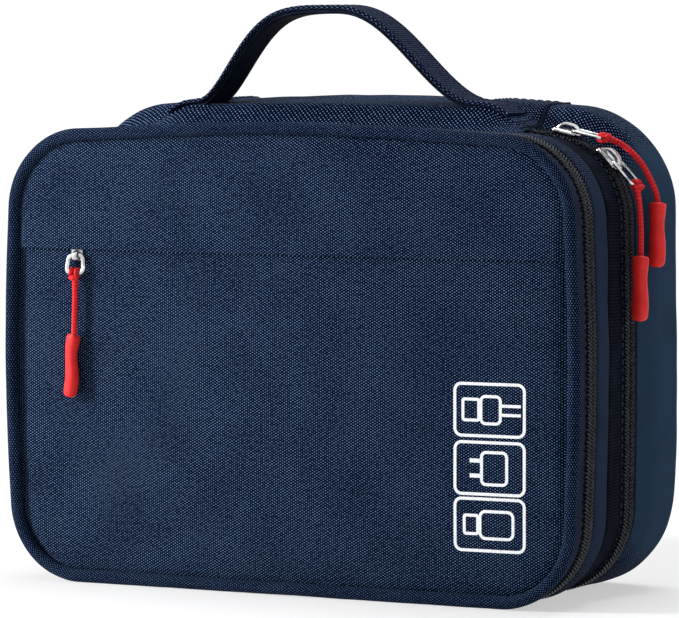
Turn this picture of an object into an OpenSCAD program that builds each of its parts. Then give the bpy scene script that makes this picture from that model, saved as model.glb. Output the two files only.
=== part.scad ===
// Soft travel case that opens in two layers, standing on its long edge.
// X runs along the width, Y from the front to the back and Z up, in millimetres.
// Depths are measured from the front face and become Y through at().

/* [Case] */
// Width of the front cover and the zip outline
case_w = 256; // [200:2:320]
// Height of the front cover and the zip outline
case_h = 187; // [150:1:240]
// Radius of the outline's corners
corner_r = 35; // [26:1:42]
// Depth of the front cover, up to the front zip's centre
cover_depth = 17; // [15:1:24]
// Depth of the middle leaf, between the two zips' centres
leaf_depth = 41; // [38:1:60]
// Depth of the rear shell, behind the rear zip's centre
shell_depth = 42; // [34:1:80]
// How far the filled rear shell stands out past the zip outline on each side
shell_swell = 4; // [3:0.5:6]
// How far the filled rear shell stands above the zip outline
shell_rise = 9; // [8:0.5:12]

/* [Fabric and boards] */
// Thickness of the woven outer fabric
fabric_t = 1.2; // [0.8:0.1:1.6]
// Thickness of the lining fabric
lining_t = 0.5; // [0.3:0.1:0.8]
// Diameter of the piping round the front cover
piping_d = 5; // [4:0.5:5]
// Thickness of the board in the front cover
board_t = 2.5; // [1.5:0.5:3]
// Thickness of the board in the middle leaf
divider_t = 3; // [2:0.5:3]
// Thickness of the padding in the rear shell
padding_t = 3; // [2:0.5:4]
// Thickness of the loose padded dividers
pad_divider_t = 4; // [3:0.5:6]

/* [Zips] */
// Width of one half of the zip's coil
coil_w = 3.6; // [3:0.1:4]
// Thickness of the zip's coil
coil_t = 2; // [1.6:0.1:2]
// Thickness of the zip's tape
tape_t = 0.8; // [0.6:0.1:1]
// Open slit between the two halves of a zip, where the slider's post runs
zip_slit = 0.8; // [0.7:0.05:1]
// Left end of the front zip on the top
front_zip_left = -102; // [-108:1:-90]
// Right end of the front zip on the top
front_zip_right = 77; // [70:1:90]
// Both ends of the rear zip on the top, from the middle
rear_zip_end = 84; // [76:1:92]

/* [Sliders and pulls] */
// Length of a slider along its zip
slider_l = 10; // [8:0.5:11]
// Width of a slider across its zip
slider_w = 8; // [7:0.5:8.5]
// Diameter of the pull rings' wire
ring_wire = 1.3; // [1.1:0.1:1.4]
// Width of a pull ring
ring_w = 9.4; // [8.5:0.1:10]
// Length of a zip's pull ring from bar to bar
ring_l = 12.5; // [11:0.5:13]
// Length of the pocket's pull ring from bar to bar
pocket_ring_l = 7.2; // [6.5:0.1:8]
// Diameter of the pull cords
cord_d = 2.4; // [2:0.1:2.6]
// Diameter of a pull grip
grip_d = 7.2; // [6:0.1:7.2]
// Length of a pull grip
grip_l = 26; // [22:1:28]
// Place of the upper rear slider round the corner, in degrees above level
upper_angle = 77; // [75:1:78]
// Place of the lower rear slider round the corner, in degrees above level
lower_angle = 43; // [40:1:44]
// Drop from the top of the case to the upper front slider on the left side
front_upper_drop = 55; // [51:1:59]
// Drop from the top of the case to the lower front slider on the left side
front_lower_drop = 85; // [83:1:89]

/* [Pocket] */
// Height of the flap's lower edge, over the pocket's mouth
flap_z = 138; // [120:1:142]
// Half the length of the pocket's zip
pocket_zip_half = 106; // [80:1:110]
// Place of the pocket's slider from the middle
pocket_slider_x = -96; // [-100:1:-80]

/* [Handle] */
// Depth of the handle's centre line
handle_depth = 57; // [56:1:62]
// Width of the handle's strap
handle_w = 20; // [16:1:22]
// Half the handle's span at its feet
handle_half_span = 64.7; // [55:0.1:70]
// Height of the handle's arch above its feet
handle_rise = 39; // [30:1:45]
// Thickness of each of the handle's two layers
strap_t = 1.7; // [1.2:0.1:2]
// Width of a handle patch
patch_w = 26; // [22:1:28]

/* [Inside] */
// Number of elastic loops on the middle leaf
loop_count = 6; // [3:1:7]
// Width inside one elastic loop
loop_w = 26; // [18:1:28]
// Clear height inside one elastic loop
loop_rise = 5; // [4.5:0.5:6]
// Width of the elastic band
loop_band = 20; // [12:1:30]

/* [Hidden] */
$fn = 48;

seam = 0.1;            // gap between pieces that are sewn together
clear = 0.4;           // gap between pieces that move past each other
navy = [0.08, 0.14, 0.30];
dark = [0.05, 0.06, 0.10];
red = [0.85, 0.08, 0.08];
steel = [0.80, 0.80, 0.82];
grey = [0.35, 0.36, 0.38];
cream = [0.93, 0.93, 0.93];

// Depths of the layers' edges
front_zip_d = cover_depth;
rear_zip_d = cover_depth + leaf_depth;
back_d = rear_zip_d + shell_depth;
cover_end = front_zip_d - zip_slit / 2;
leaf_start = front_zip_d + zip_slit / 2;
leaf_end = rear_zip_d - zip_slit / 2;
shell_start = rear_zip_d + zip_slit / 2;
cover_hinge_d = piping_d + 0.5;
valley_d = cover_depth + leaf_depth / 2 + 0.5;
valley_half = 1.9;
wall_start = shell_start + 7.7;
base_d = (wall_start + back_d) / 2;
function at(d) = d - base_d;

// Outlines
coil_inset = 0;
tape_inset = 0.9;
band_inset = 0.3;
shell_edge_inset = coil_t + 0.2;
panel_inset = piping_d + seam;
shell_w = case_w + 2 * shell_swell;
shell_h = case_h + shell_rise;
shell_r = corner_r + shell_swell;
corner_x = case_w / 2 - corner_r;
corner_z = case_h - corner_r;
front_upper_z = case_h - front_upper_drop;
front_lower_z = case_h - front_lower_drop;

// Front cover, from the front to the back
pocket_d = 3;
pocket_zip_z = flap_z + 5.4;
pocket_chain_d = pocket_d + fabric_t + 0.6;
pocket_gap = 4.2;
pocket_lining_d = pocket_chain_d + coil_t + pocket_gap;
board_d = pocket_lining_d + lining_t + seam;
cover_lining_d = board_d + board_t + seam;
mesh_d = cover_lining_d + lining_t + seam;
mesh_t = 0.7;

// Rear shell's top, raised over the handle
top_cap_d = handle_depth - handle_w / 2 + 1;
top_z = shell_h;
handle_foot_z = top_z + fabric_t + seam;
handle_pivot_z = handle_foot_z + 1.6;
handle_split_r = handle_w / 2 + 1;

// Sliders, measured in the slider's own frame: X along the zip, Z away from the coil
plate_z = 0.5;
plate_t = 1.1;
bail_hole = 1.7;
bail_t = 0.8;
bail_w = 2.4;
bail_l = 8;
pivot_h = plate_z + plate_t + bail_hole / 2;
pivot_back = 2.5;
blade_z = -coil_t - 0.6;
blade_t = 1;
post_t = 0.4;
knot_r = 2.2;
knot_l = 4;
knot_y = 0.4;
grip_taper = 0.8;

// Pull cords' routes: [x, depth, z] of the points that each cord follows
POCKET_ROUTE = [[-95.5, -0.8, 127], [-95.5, -0.9, 122], [-95.6, -1, 116], [-95.8, -1, 110], [-96, -1, 104],
  [-96.1, -1, 98], [-96.1, -1, 91]];
REAR_UPPER_ROUTE = [[117.5, 59.6, 184.9], [121.6, 60.9, 183.2], [126, 62.6, 179.8], [130.3, 64.4, 174.6],
  [133.6, 65.9, 168], [135.9, 66.8, 161.5], [136.4, 66.9, 154.5], [136.4, 66.9, 147]];
REAR_LOWER_ROUTE = [[131.4, 56.4, 165.6], [133, 55.3, 160.6], [134, 54.4, 155], [134.5, 54.1, 149],
  [134.5, 54.1, 143], [134.5, 54.1, 137], [134.5, 54.1, 131], [134.5, 54.1, 126]];
FRONT_UPPER_ROUTE = [[-130.6, 18.5, 115.7], [-132, 20.4, 111], [-133.4, 23.2, 105.5], [-134, 25.4, 99],
  [-134, 26, 92.5], [-134, 26, 86], [-134, 26, 79.5], [-134, 26, 73]];
FRONT_LOWER_ROUTE = [[-130.6, 15.5, 85.7], [-132, 14.2, 81], [-133.4, 13.3, 76], [-134, 13.1, 70],
  [-134, 13.1, 64], [-134, 13.1, 58], [-134, 13.1, 52]];
cord_sides = 8;

// ---- shared shapes ----

// Extrudes a shape drawn in X and Z from one depth to another
module slab(d0, d1) {
  translate([0, at(d1), 0]) rotate([90, 0, 0]) linear_extrude(d1 - d0) children();
}

// Rectangle with round corners, standing on Z = 0, drawn smaller by an inset
module outline(w, h, r, inset = 0) {
  ow = w - 2 * inset;
  oh = h - 2 * inset;
  or = r - inset;
  translate([-ow / 2, inset]) union() {
    translate([or, 0]) square([ow - 2 * or, oh]);
    translate([0, or]) square([ow, oh - 2 * or]);
    for (x = [or, ow - or], y = [or, oh - or]) translate([x, y]) circle(or);
  }
}

module case_outline(inset = 0) { outline(case_w, case_h, corner_r, inset); }
module shell_outline(inset = 0) { outline(shell_w, shell_h, shell_r, inset); }

// Band between two insets of the case's outline
module case_ring(outer, inner) {
  difference() {
    case_outline(outer);
    case_outline(inner);
  }
}

module shell_ring(outer, inner) {
  difference() {
    shell_outline(outer);
    shell_outline(inner);
  }
}

// Removes the stretch of a ring along the top between two places
module open_on_top(x0, x1) {
  difference() {
    children();
    translate([x0, case_h - corner_r / 2]) square([x1 - x0, corner_r]);
  }
}

// One half of a zip: the coil from coil_d0 to coil_d1 and its tape between tape_d0 and tape_d1
module zip_half(coil_d0, tape_d0, tape_d1, x0, x1) {
  slab(coil_d0, coil_d0 + coil_w) open_on_top(x0, x1) case_ring(coil_inset, coil_t);
  slab(tape_d0, tape_d1) open_on_top(x0, x1) case_ring(tape_inset, tape_inset + tape_t);
}

// Slider lying on its coil, with its nose towards +X; blades says where the inner plate reaches across the coil
module slider(blades = [-slider_w / 2, slider_w / 2]) {
  translate([0, 0, plate_z]) linear_extrude(plate_t) slider_plate();
  translate([-slider_l / 2, blades[0], blade_z - blade_t]) cube([slider_l, blades[1] - blades[0], blade_t]);
  translate([slider_l / 2 - 2.2, -post_t / 2, blade_z - blade_t / 2])
    cube([1.6, post_t, plate_z + plate_t / 2 - blade_z + blade_t / 2]);
  bail();
}

module slider_plate() {
  side = 2;
  square([slider_l - 2 * side, slider_w], center = true);
  square([slider_l, slider_w - 2 * side], center = true);
  for (x = [-1, 1], y = [-1, 1]) translate([x * (slider_l / 2 - side), y * (slider_w / 2 - side)]) circle(side);
}

// Arch over the slider's plate that the ring hangs on
module bail() {
  top = plate_z + plate_t;
  for (x = [-bail_l / 2, bail_l / 2 - bail_t])
    translate([x, -bail_w / 2, top - plate_t / 2]) cube([bail_t, bail_w, plate_t / 2 + bail_hole + bail_t]);
  translate([-bail_l / 2, -bail_w / 2, top + bail_hole]) cube([bail_l, bail_w, bail_t]);
}

// Closed wire loop from its pivot bar at the origin towards -Z, with its bars along Y
module wire_ring(length, width) {
  r = ring_wire / 2;
  bend = 1.6;
  arm = width / 2 - r;
  rotate([90, 0, 90]) translate([0, -length / 2, 0]) {
    for (y = [-1, 1]) translate([0, y * length / 2, 0]) rotate([0, 90, 0])
      translate([0, 0, -arm + bend]) cylinder(r = r, h = 2 * (arm - bend));
    for (x = [-1, 1]) translate([x * arm, -length / 2 + bend, 0]) rotate([-90, 0, 0])
      cylinder(r = r, h = length - 2 * bend);
    for (x = [-1, 1], y = [-1, 1]) translate([x * (arm - bend), y * (length / 2 - bend), 0])
      rotate([0, 0, (x > 0 ? (y > 0 ? 0 : 270) : (y > 0 ? 90 : 180))])
        rotate_extrude(angle = 90) translate([bend, 0]) circle(r);
  }
}

// Collar of cord round the ring's end bar, along Y
module knot_collar() {
  rotate([-90, 0, 0]) difference() {
    translate([0, 0, -knot_l / 2]) cylinder(r = knot_r, h = knot_l);
    translate([0, 0, -knot_l]) cylinder(r = ring_wire / 2 + 0.15, h = 2 * knot_l);
  }
}

// Rubber grip hanging from its top at the origin
module grip() {
  r = grip_d / 2;
  lip = 1;
  rotate_extrude() polygon([[0, 0], [r - lip, 0], [r, -lip], [r - grip_taper, -grip_l + lip],
    [r - grip_taper - lip, -grip_l], [0, -grip_l]]);
}

function unit(v) = v / norm(v);
function route_dir(p, i) = unit(p[min(i + 1, len(p) - 1)] - p[max(i - 1, 0)]);
function ring_points(c, dir, r) =
  let (side = unit(cross(dir, [0, 1, 0])), up = cross(side, dir))
  [for (k = [0:cord_sides - 1]) c + r * (cos(360 * k / cord_sides) * side + sin(360 * k / cord_sides) * up)];

// Round tube along a route of [x, depth, z] points
module tube(route, d) {
  p = [for (q = route) [q[0], at(q[1]), q[2]]];
  n = len(p);
  s = cord_sides;
  points = [for (i = [0:n - 1]) each ring_points(p[i], route_dir(p, i), d / 2)];
  walls = [for (i = [0:n - 2], k = [0:s - 1]) let (m = (k + 1) % s)
    each [[i * s + k, (i + 1) * s + m, (i + 1) * s + k], [i * s + k, i * s + m, (i + 1) * s + m]]];
  start_cap = [[for (k = [0:s - 1]) s - 1 - k]];
  end_cap = [[for (k = [0:s - 1]) (n - 1) * s + k]];
  polyhedron(points, concat(walls, start_cap, end_cap));
}

// ---- places of the sliders ----

// Slider's frame at an angle round the top right corner of the rear zip, nose up the zip
module on_corner(angle) {
  translate([corner_x, at(rear_zip_d), corner_z]) rotate([0, -angle, 0]) translate([corner_r, 0, 0])
    rotate([0, 90, 0]) rotate([0, 0, 180]) children();
}

// Slider's frame on the left side of the front zip, nose up or down
module on_left(z, nose) {
  translate([-case_w / 2, at(front_zip_d), z]) rotate([0, -90, 0]) rotate([0, 0, nose > 0 ? 0 : 180]) children();
}

// Ring's and knot's frame: its pivot bar lies pivot_back below the slider's centre
module corner_pivot(angle) {
  on_corner(angle) translate([-pivot_back, 0, pivot_h]) rotate([0, 90, 0]) children();
}

module left_pivot(z) {
  translate([-case_w / 2 - pivot_h, at(front_zip_d), z - pivot_back]) children();
}

pocket_pivot_d = 0.9;
lug_gap = 1.1;
pocket_pivot_z = flap_z - clear - bail_t - lug_gap;
pocket_tilt = 10;
module pocket_pivot() {
  translate([pocket_slider_x, at(pocket_pivot_d), pocket_pivot_z]) rotate([-pocket_tilt, 0, 0])
    rotate([0, 0, 90]) children();
}

// ---- front cover ----

module pocket_panel() {
  color(navy) slab(pocket_d, pocket_d + fabric_t) intersection() {
    case_outline(panel_inset);
    translate([-case_w / 2, 0]) square([case_w, flap_z + 1]);
  }
}

module flap_panel() {
  color(navy) {
    slab(0, fabric_t) intersection() {
      case_outline(panel_inset);
      translate([-case_w / 2, flap_z]) square([case_w, case_h]);
    }
    slab(fabric_t, pocket_chain_d + coil_t) intersection() {
      case_outline(panel_inset);
      translate([-case_w / 2, pocket_zip_z + 8]) square([case_w, fabric_t]);
    }
  }
}

module cover_piping() {
  r = piping_d / 2;
  color(navy) translate([0, at(r), 0]) {
    for (x = [-1, 1]) translate([x * (case_w / 2 - r), 0, corner_r]) cylinder(r = r, h = case_h - 2 * corner_r);
    for (z = [r, case_h - r]) translate([-corner_x, 0, z]) rotate([0, 90, 0]) cylinder(r = r, h = 2 * corner_x);
    for (x = [-1, 1], z = [-1, 1])
      translate([x * corner_x, 0, case_h / 2 + z * (case_h / 2 - corner_r)]) rotate([90, 0, 0])
        rotate([0, 0, x > 0 ? (z > 0 ? 0 : 270) : (z > 0 ? 90 : 180)])
          rotate_extrude(angle = 90) translate([corner_r - r, 0]) circle(r);
  }
}

module cover_gusset() {
  color(dark) slab(piping_d + seam, cover_end - coil_w - 2.1)
    open_on_top(front_zip_left, front_zip_right) case_ring(tape_inset, tape_inset + 1.5);
}

module cover_board() { color(grey) slab(board_d, board_d + board_t) case_outline(panel_inset - 1.5); }
module cover_lining() { color(dark) slab(cover_lining_d, cover_lining_d + lining_t) case_outline(panel_inset - 1.5); }

module cover_mesh_pocket() {
  color(dark) slab(mesh_d, mesh_d + mesh_t) intersection() {
    case_outline(panel_inset + 3);
    translate([-case_w / 2, 0]) square([case_w, case_h * 0.6]);
  }
}

module pocket_lining() {
  color(dark) slab(pocket_lining_d, pocket_lining_d + lining_t) case_outline(panel_inset - 1.5);
}

// Zip behind the flap, its halves above and below the slit
module pocket_zip() {
  color(dark) for (side = [-1, 1]) {
    edge = pocket_zip_z + side * zip_slit / 2;
    slab(pocket_chain_d, pocket_chain_d + coil_t)
      translate([-pocket_zip_half, side > 0 ? edge : edge - coil_w]) square([2 * pocket_zip_half, coil_w]);
    slab(pocket_chain_d + 0.5, pocket_chain_d + 0.5 + tape_t)
      translate([-pocket_zip_half, side > 0 ? edge : edge - coil_w - 3]) square([2 * pocket_zip_half, coil_w + 3]);
  }
}

// Printed frames with simple device signs, standing one over another
mark_w = 31;
mark_h = 21.8;
mark_r = 3.4;
mark_line = 1.2;
mark_x = 92;
mark_z = [78.7, 55.5, 33];
mark_t = 0.2;

module mark_box(w, h, r) {
  union() {
    square([w - 2 * r, h], center = true);
    square([w, h - 2 * r], center = true);
    for (x = [-1, 1], y = [-1, 1]) translate([x * (w / 2 - r), y * (h / 2 - r)]) circle(r);
  }
}

module mark_frame(w, h, r) {
  difference() {
    mark_box(w, h, r);
    mark_box(w - 2 * mark_line, h - 2 * mark_line, r - mark_line);
  }
}

module cable_sign() {
  translate([-8, 0]) mark_frame(8, 9.5, 1.3);
  translate([0.5, 0]) mark_frame(9.5, 12, 2.5);
  for (y = [-1.8, 1.8]) translate([5.4, y - mark_line / 2]) square([8, mark_line]);
}

module charger_sign() {
  translate([2, 0]) mark_frame(12, 14, 2.5);
  for (y = [-3, 3]) translate([-8.5, y - 0.8]) square([4.4, 1.6]);
}

module memory_sign() {
  translate([-8, 0]) mark_frame(7, 8.5, 1.3);
  translate([3, 0]) mark_frame(15.4, 12, 3);
}

module print_marks() {
  color(cream) slab(pocket_d - mark_t, pocket_d) for (k = [0:2]) translate([mark_x, mark_z[k]]) {
    mark_frame(mark_w, mark_h, mark_r);
    if (k == 0) cable_sign();
    if (k == 1) charger_sign();
    if (k == 2) memory_sign();
  }
}

module front_zip_cover_half() {
  color(dark) zip_half(cover_end - coil_w, cover_end - coil_w - 2, cover_end, front_zip_left, front_zip_right);
}

// ---- middle leaf ----

band_start = leaf_start + coil_w + 2;
band_end = valley_d - valley_half - seam;

module front_zip_leaf_half() {
  color(dark) zip_half(leaf_start, leaf_start, band_start, front_zip_left, front_zip_right);
}

// Band round the leaf, which reaches forward over the top to the cover's hinge
module middle_band() {
  color(navy) {
    slab(band_start + seam, band_end) case_ring(band_inset, band_inset + 1.5);
    slab(cover_hinge_d + clear, band_start + 2 * seam) intersection() {
      case_ring(band_inset, band_inset + 1.5);
      translate([front_zip_left + clear, case_h / 2])
        square([front_zip_right - front_zip_left - 2 * clear, case_h]);
    }
  }
}

module leaf_binding() {
  color(dark) slab(valley_d - valley_half, valley_d + valley_half) case_ring(tape_inset + tape_t, 4);
}

module divider_panel() {
  color(dark) slab(valley_d - divider_t / 2, valley_d + divider_t / 2) case_outline(4 + seam);
}

loop_leg = 3;
loop_t = 0.8;
loop_pitch = loop_w + loop_leg;
loop_z = case_h / 2;
loop_back = valley_d - divider_t / 2 - seam;

// Elastic band sewn down between its loops, above and below the leaf's middle
module elastic_loops() {
  total = loop_count * loop_pitch + loop_leg;
  color(grey) for (side = [-1, 1])
    translate([-total / 2, at(loop_back), loop_z + side * 40 - loop_band / 2]) {
      translate([0, -loop_rise - loop_t, 0]) cube([total, loop_t, loop_band]);
      for (k = [0:loop_count]) translate([k * loop_pitch, -loop_rise - loop_t / 2, 0])
        cube([loop_leg, loop_rise + loop_t / 2, loop_band]);
    }
}

module leaf_mesh_pocket() {
  d = valley_d + divider_t / 2 + seam;
  color(dark) slab(d, d + mesh_t) intersection() {
    case_outline(panel_inset + 3);
    translate([-case_w / 2, 0]) square([case_w, case_h * 0.55]);
  }
}

module rear_zip_leaf_half() {
  color(dark) zip_half(leaf_end - coil_w, valley_d + valley_half + seam, leaf_end, -rear_zip_end, rear_zip_end);
}

// ---- rear shell ----

module rear_shell() {
  color(navy) {
    slab(shell_start + coil_w, wall_start + fabric_t) open_on_top(-rear_zip_end, rear_zip_end)
      case_ring(shell_edge_inset, shell_edge_inset + fabric_t);
    slab(wall_start, wall_start + fabric_t) difference() {
      shell_outline();
      case_outline(shell_edge_inset + fabric_t / 2);
    }
    slab(wall_start, back_d) shell_ring(0, fabric_t);
    slab(back_d - fabric_t, back_d) shell_outline();
    top_cap();
  }
}

// Top fabric from the leaf's valley up to the raised top, with closed ends
module top_cap() {
  d0 = valley_d + valley_half + clear;
  profile = [[at(d0), case_h - fabric_t], [at(d0), case_h], [at(top_cap_d), top_z],
    [at(wall_start + fabric_t / 2), top_z], [at(wall_start + fabric_t / 2), top_z - fabric_t],
    [at(top_cap_d) + fabric_t / 2, top_z - fabric_t], [at(d0 + fabric_t), case_h - fabric_t]];
  side = rear_zip_end - clear;
  translate([-side, 0, 0]) rotate([90, 0, 90]) linear_extrude(2 * side) polygon(profile);
}

module shell_padding() {
  d0 = wall_start + fabric_t + seam;
  d1 = back_d - fabric_t - seam;
  inset = fabric_t + seam;
  color(grey) {
    slab(d0, d1) shell_ring(inset, inset + padding_t);
    slab(d1 - padding_t, d1) shell_outline(inset);
  }
}

lining_inset = fabric_t + padding_t + 2 * seam;
lining_back_d = back_d - lining_inset;

module shell_lining() {
  color(dark) {
    slab(wall_start + fabric_t + seam, lining_back_d) shell_ring(lining_inset, lining_inset + lining_t);
    slab(lining_back_d - lining_t, lining_back_d) shell_outline(lining_inset);
  }
}

module rear_zip_shell_half() {
  color(dark) zip_half(shell_start, shell_start, wall_start - seam, -rear_zip_end, rear_zip_end);
}

module patch(side) {
  x0 = side > 0 ? rear_zip_end - patch_w : -rear_zip_end;
  color(navy) translate([x0, at(top_cap_d + 1), top_z + seam]) cube([patch_w, back_d - 6 - top_cap_d, fabric_t]);
}

module left_patch() { patch(-1); }
module right_patch() { patch(1); }

inside_front_d = valley_d + divider_t / 2 + mesh_t + 6;
inside_back_d = lining_back_d - lining_t - seam;
inside_h0 = lining_inset + lining_t + seam;
inside_h1 = shell_h - inside_h0;
inside_half_w = shell_w / 2 - inside_h0;
long_divider_z = 93;

module long_divider() {
  half = case_w / 2 - 6;
  color(grey) {
    translate([-half, at(inside_front_d), long_divider_z])
      cube([2 * half, inside_back_d - inside_front_d, pad_divider_t]);
    for (x = [-inside_half_w, half - 1]) translate([x, at(wall_start + 4), long_divider_z])
      cube([inside_half_w - half + 1, inside_back_d - wall_start - 4, pad_divider_t]);
  }
}

// Upright divider between the long one and the top or the bottom
module left_divider() {
  color(grey) translate([-42 - pad_divider_t / 2, at(wall_start + 2), long_divider_z + pad_divider_t + seam])
    cube([pad_divider_t, inside_back_d - wall_start - 2, inside_h1 - long_divider_z - pad_divider_t - seam]);
}

module right_divider() {
  color(grey) translate([42 - pad_divider_t / 2, at(wall_start + 2), inside_h0])
    cube([pad_divider_t, inside_back_d - wall_start - 2, long_divider_z - seam - inside_h0]);
}

// ---- handle ----

// Height of the arch at a place along the span: half a cosine wave on each side
function arch_z(x) = handle_foot_z + 2 + handle_rise * (1 + cos(180 * pow(abs(x) / handle_half_span, 1.15))) / 2;
arch_steps = 48;
function arch_point(i) = let (x = handle_half_span * (2 * i / arch_steps - 1)) [x, arch_z(x)];
function arch_normal(i) =
  let (a = arch_point(max(i - 1, 0)), b = arch_point(min(i + 1, arch_steps)), v = unit(b - a)) [-v[1], v[0]];
function arch_line(below) = [for (i = [0:arch_steps]) arch_point(i) - below * arch_normal(i)];

module arch_layer(top, bottom) {
  polygon(concat(arch_line(top), [for (i = [0:arch_steps]) arch_line(bottom)[arch_steps - i]]));
}

// Strap layer outside the handle's pivot zone
module moving_strap(top, bottom) {
  difference() {
    slab(handle_depth - handle_w / 2, handle_depth + handle_w / 2) arch_layer(top, bottom);
    translate([-handle_half_span - 20, at(handle_depth), handle_pivot_z]) rotate([0, 90, 0])
      cylinder(r = handle_split_r + clear, h = 2 * handle_half_span + 40);
  }
}

module handle_outer_strap() { color(navy) moving_strap(0, strap_t); }
module handle_inner_strap() { color(dark) moving_strap(strap_t + seam, 2 * strap_t + seam); }

// Feet of the handle, which are sewn to the top through the patches
module handle_ends() {
  color(navy) intersection() {
    slab(handle_depth - handle_w / 2, handle_depth + handle_w / 2) difference() {
      arch_layer(0, 2 * strap_t + seam);
      translate([-case_w, 0]) square([2 * case_w, handle_foot_z + seam]);
    }
    translate([-handle_half_span - 20, at(handle_depth), handle_pivot_z]) rotate([0, 90, 0])
      cylinder(r = handle_split_r, h = 2 * handle_half_span + 40);
  }
}

// ---- pocket's slider and pull ----

module pocket_slider() {
  z = pocket_zip_z;
  color(steel) translate([pocket_slider_x, at(pocket_chain_d), 0]) {
    translate([0, 0, z]) rotate([90, 0, 0]) {
      translate([0, 0, plate_z]) linear_extrude(plate_t) slider_plate();
      translate([-slider_l / 2, -slider_w / 2, blade_z - blade_t]) cube([slider_l, slider_w, blade_t]);
      translate([slider_l / 2 - 2.2, -post_t / 2, blade_z - blade_t / 2])
        cube([1.6, post_t, plate_z + plate_t / 2 - blade_z + blade_t / 2]);
    }
  }
  color(steel) pocket_lug();
}

// Tongue under the flap with the arch that the pocket's ring hangs on
module pocket_lug() {
  lug_back = pocket_chain_d - plate_z - plate_t / 2;
  lug_front = pocket_pivot_d + bail_hole / 2;
  top = flap_z + 3.4;
  bottom = pocket_pivot_z - 2.2;
  translate([pocket_slider_x - 3, at(lug_front), bottom]) cube([6, 1, top - bottom]);
  translate([pocket_slider_x - 3, at(lug_front), flap_z + 1.4]) cube([6, lug_back - lug_front, 2]);
  for (z = [bottom, pocket_pivot_z + lug_gap])
    translate([pocket_slider_x - bail_w / 2, at(pocket_pivot_d - bail_hole / 2 - bail_t), z])
      cube([bail_w, bail_hole + bail_t + 0.5, bail_t]);
  translate([pocket_slider_x - bail_w / 2, at(pocket_pivot_d - bail_hole / 2 - bail_t), bottom])
    cube([bail_w, bail_t, pocket_pivot_z + lug_gap + bail_t - bottom]);
}

module pocket_ring() { color(steel) pocket_pivot() wire_ring(pocket_ring_l, ring_w); }
module pocket_knot() { color(red) pocket_pivot() translate([0, 0, -pocket_ring_l]) knot_collar(); }
module pocket_cord() { color(red) tube(POCKET_ROUTE, cord_d); }
module pocket_grip() { color(red) translate([-96.1, at(-1), 103]) grip(); }

// ---- rear zip's sliders and pulls ----

// The inner plate reaches across the shell's half of the zip alone, clear of the shell's edge
SHELL_SIDE = [clear - slider_w / 2, 0];

module rear_upper_slider() { color(steel) on_corner(upper_angle) slider(SHELL_SIDE); }
module rear_lower_slider() { color(steel) on_corner(lower_angle) slider(SHELL_SIDE); }
module rear_upper_ring() { color(steel) corner_pivot(upper_angle) wire_ring(ring_l, ring_w); }
module rear_lower_ring() { color(steel) corner_pivot(lower_angle) wire_ring(ring_l, ring_w); }

module rear_upper_knot() {
  color(red) corner_pivot(upper_angle) translate([0, -knot_y, -ring_l]) knot_collar();
}

module rear_lower_knot() {
  color(red) corner_pivot(lower_angle) translate([0, knot_y, -ring_l]) knot_collar();
}

module rear_upper_cord() { color(red) tube(REAR_UPPER_ROUTE, cord_d); }
module rear_lower_cord() { color(red) tube(REAR_LOWER_ROUTE, cord_d); }
module rear_upper_grip() { color(red) translate([136.4, at(66.9), 159]) grip(); }
module rear_lower_grip() { color(red) translate([134.5, at(54.1), 138]) grip(); }

// ---- front zip's sliders and pulls ----

module front_upper_slider() { color(steel) on_left(front_upper_z, 1) slider(); }
module front_lower_slider() { color(steel) on_left(front_lower_z, -1) slider(); }
module front_upper_ring() { color(steel) left_pivot(front_upper_z) wire_ring(ring_l, ring_w); }
module front_lower_ring() { color(steel) left_pivot(front_lower_z) wire_ring(ring_l, ring_w); }
module front_upper_knot() { color(red) left_pivot(front_upper_z) translate([0, knot_y, -ring_l]) knot_collar(); }
module front_lower_knot() { color(red) left_pivot(front_lower_z) translate([0, -knot_y, -ring_l]) knot_collar(); }
module front_upper_cord() { color(red) tube(FRONT_UPPER_ROUTE, cord_d); }
module front_lower_cord() { color(red) tube(FRONT_LOWER_ROUTE, cord_d); }
module front_upper_grip() { color(red) translate([-134, at(26), 85.5]) grip(); }
module front_lower_grip() { color(red) translate([-134, at(13.1), 64]) grip(); }

pocket_panel();
flap_panel();
cover_piping();
cover_gusset();
cover_board();
cover_lining();
cover_mesh_pocket();
pocket_lining();
pocket_zip();
print_marks();
front_zip_cover_half();
front_zip_leaf_half();
middle_band();
leaf_binding();
divider_panel();
elastic_loops();
leaf_mesh_pocket();
rear_zip_leaf_half();
rear_shell();
shell_padding();
shell_lining();
rear_zip_shell_half();
left_patch();
right_patch();
handle_ends();
long_divider();
left_divider();
right_divider();
handle_outer_strap();
handle_inner_strap();
pocket_slider();
pocket_ring();
pocket_knot();
pocket_cord();
pocket_grip();
rear_upper_slider();
rear_upper_ring();
rear_upper_knot();
rear_upper_cord();
rear_upper_grip();
rear_lower_slider();
rear_lower_ring();
rear_lower_knot();
rear_lower_cord();
rear_lower_grip();
front_upper_slider();
front_upper_ring();
front_upper_knot();
front_upper_cord();
front_upper_grip();
front_lower_slider();
front_lower_ring();
front_lower_knot();
front_lower_cord();
front_lower_grip();
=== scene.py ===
"""Looks of a soft two-layer travel case: woven fabric, zips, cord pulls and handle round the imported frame."""

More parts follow.
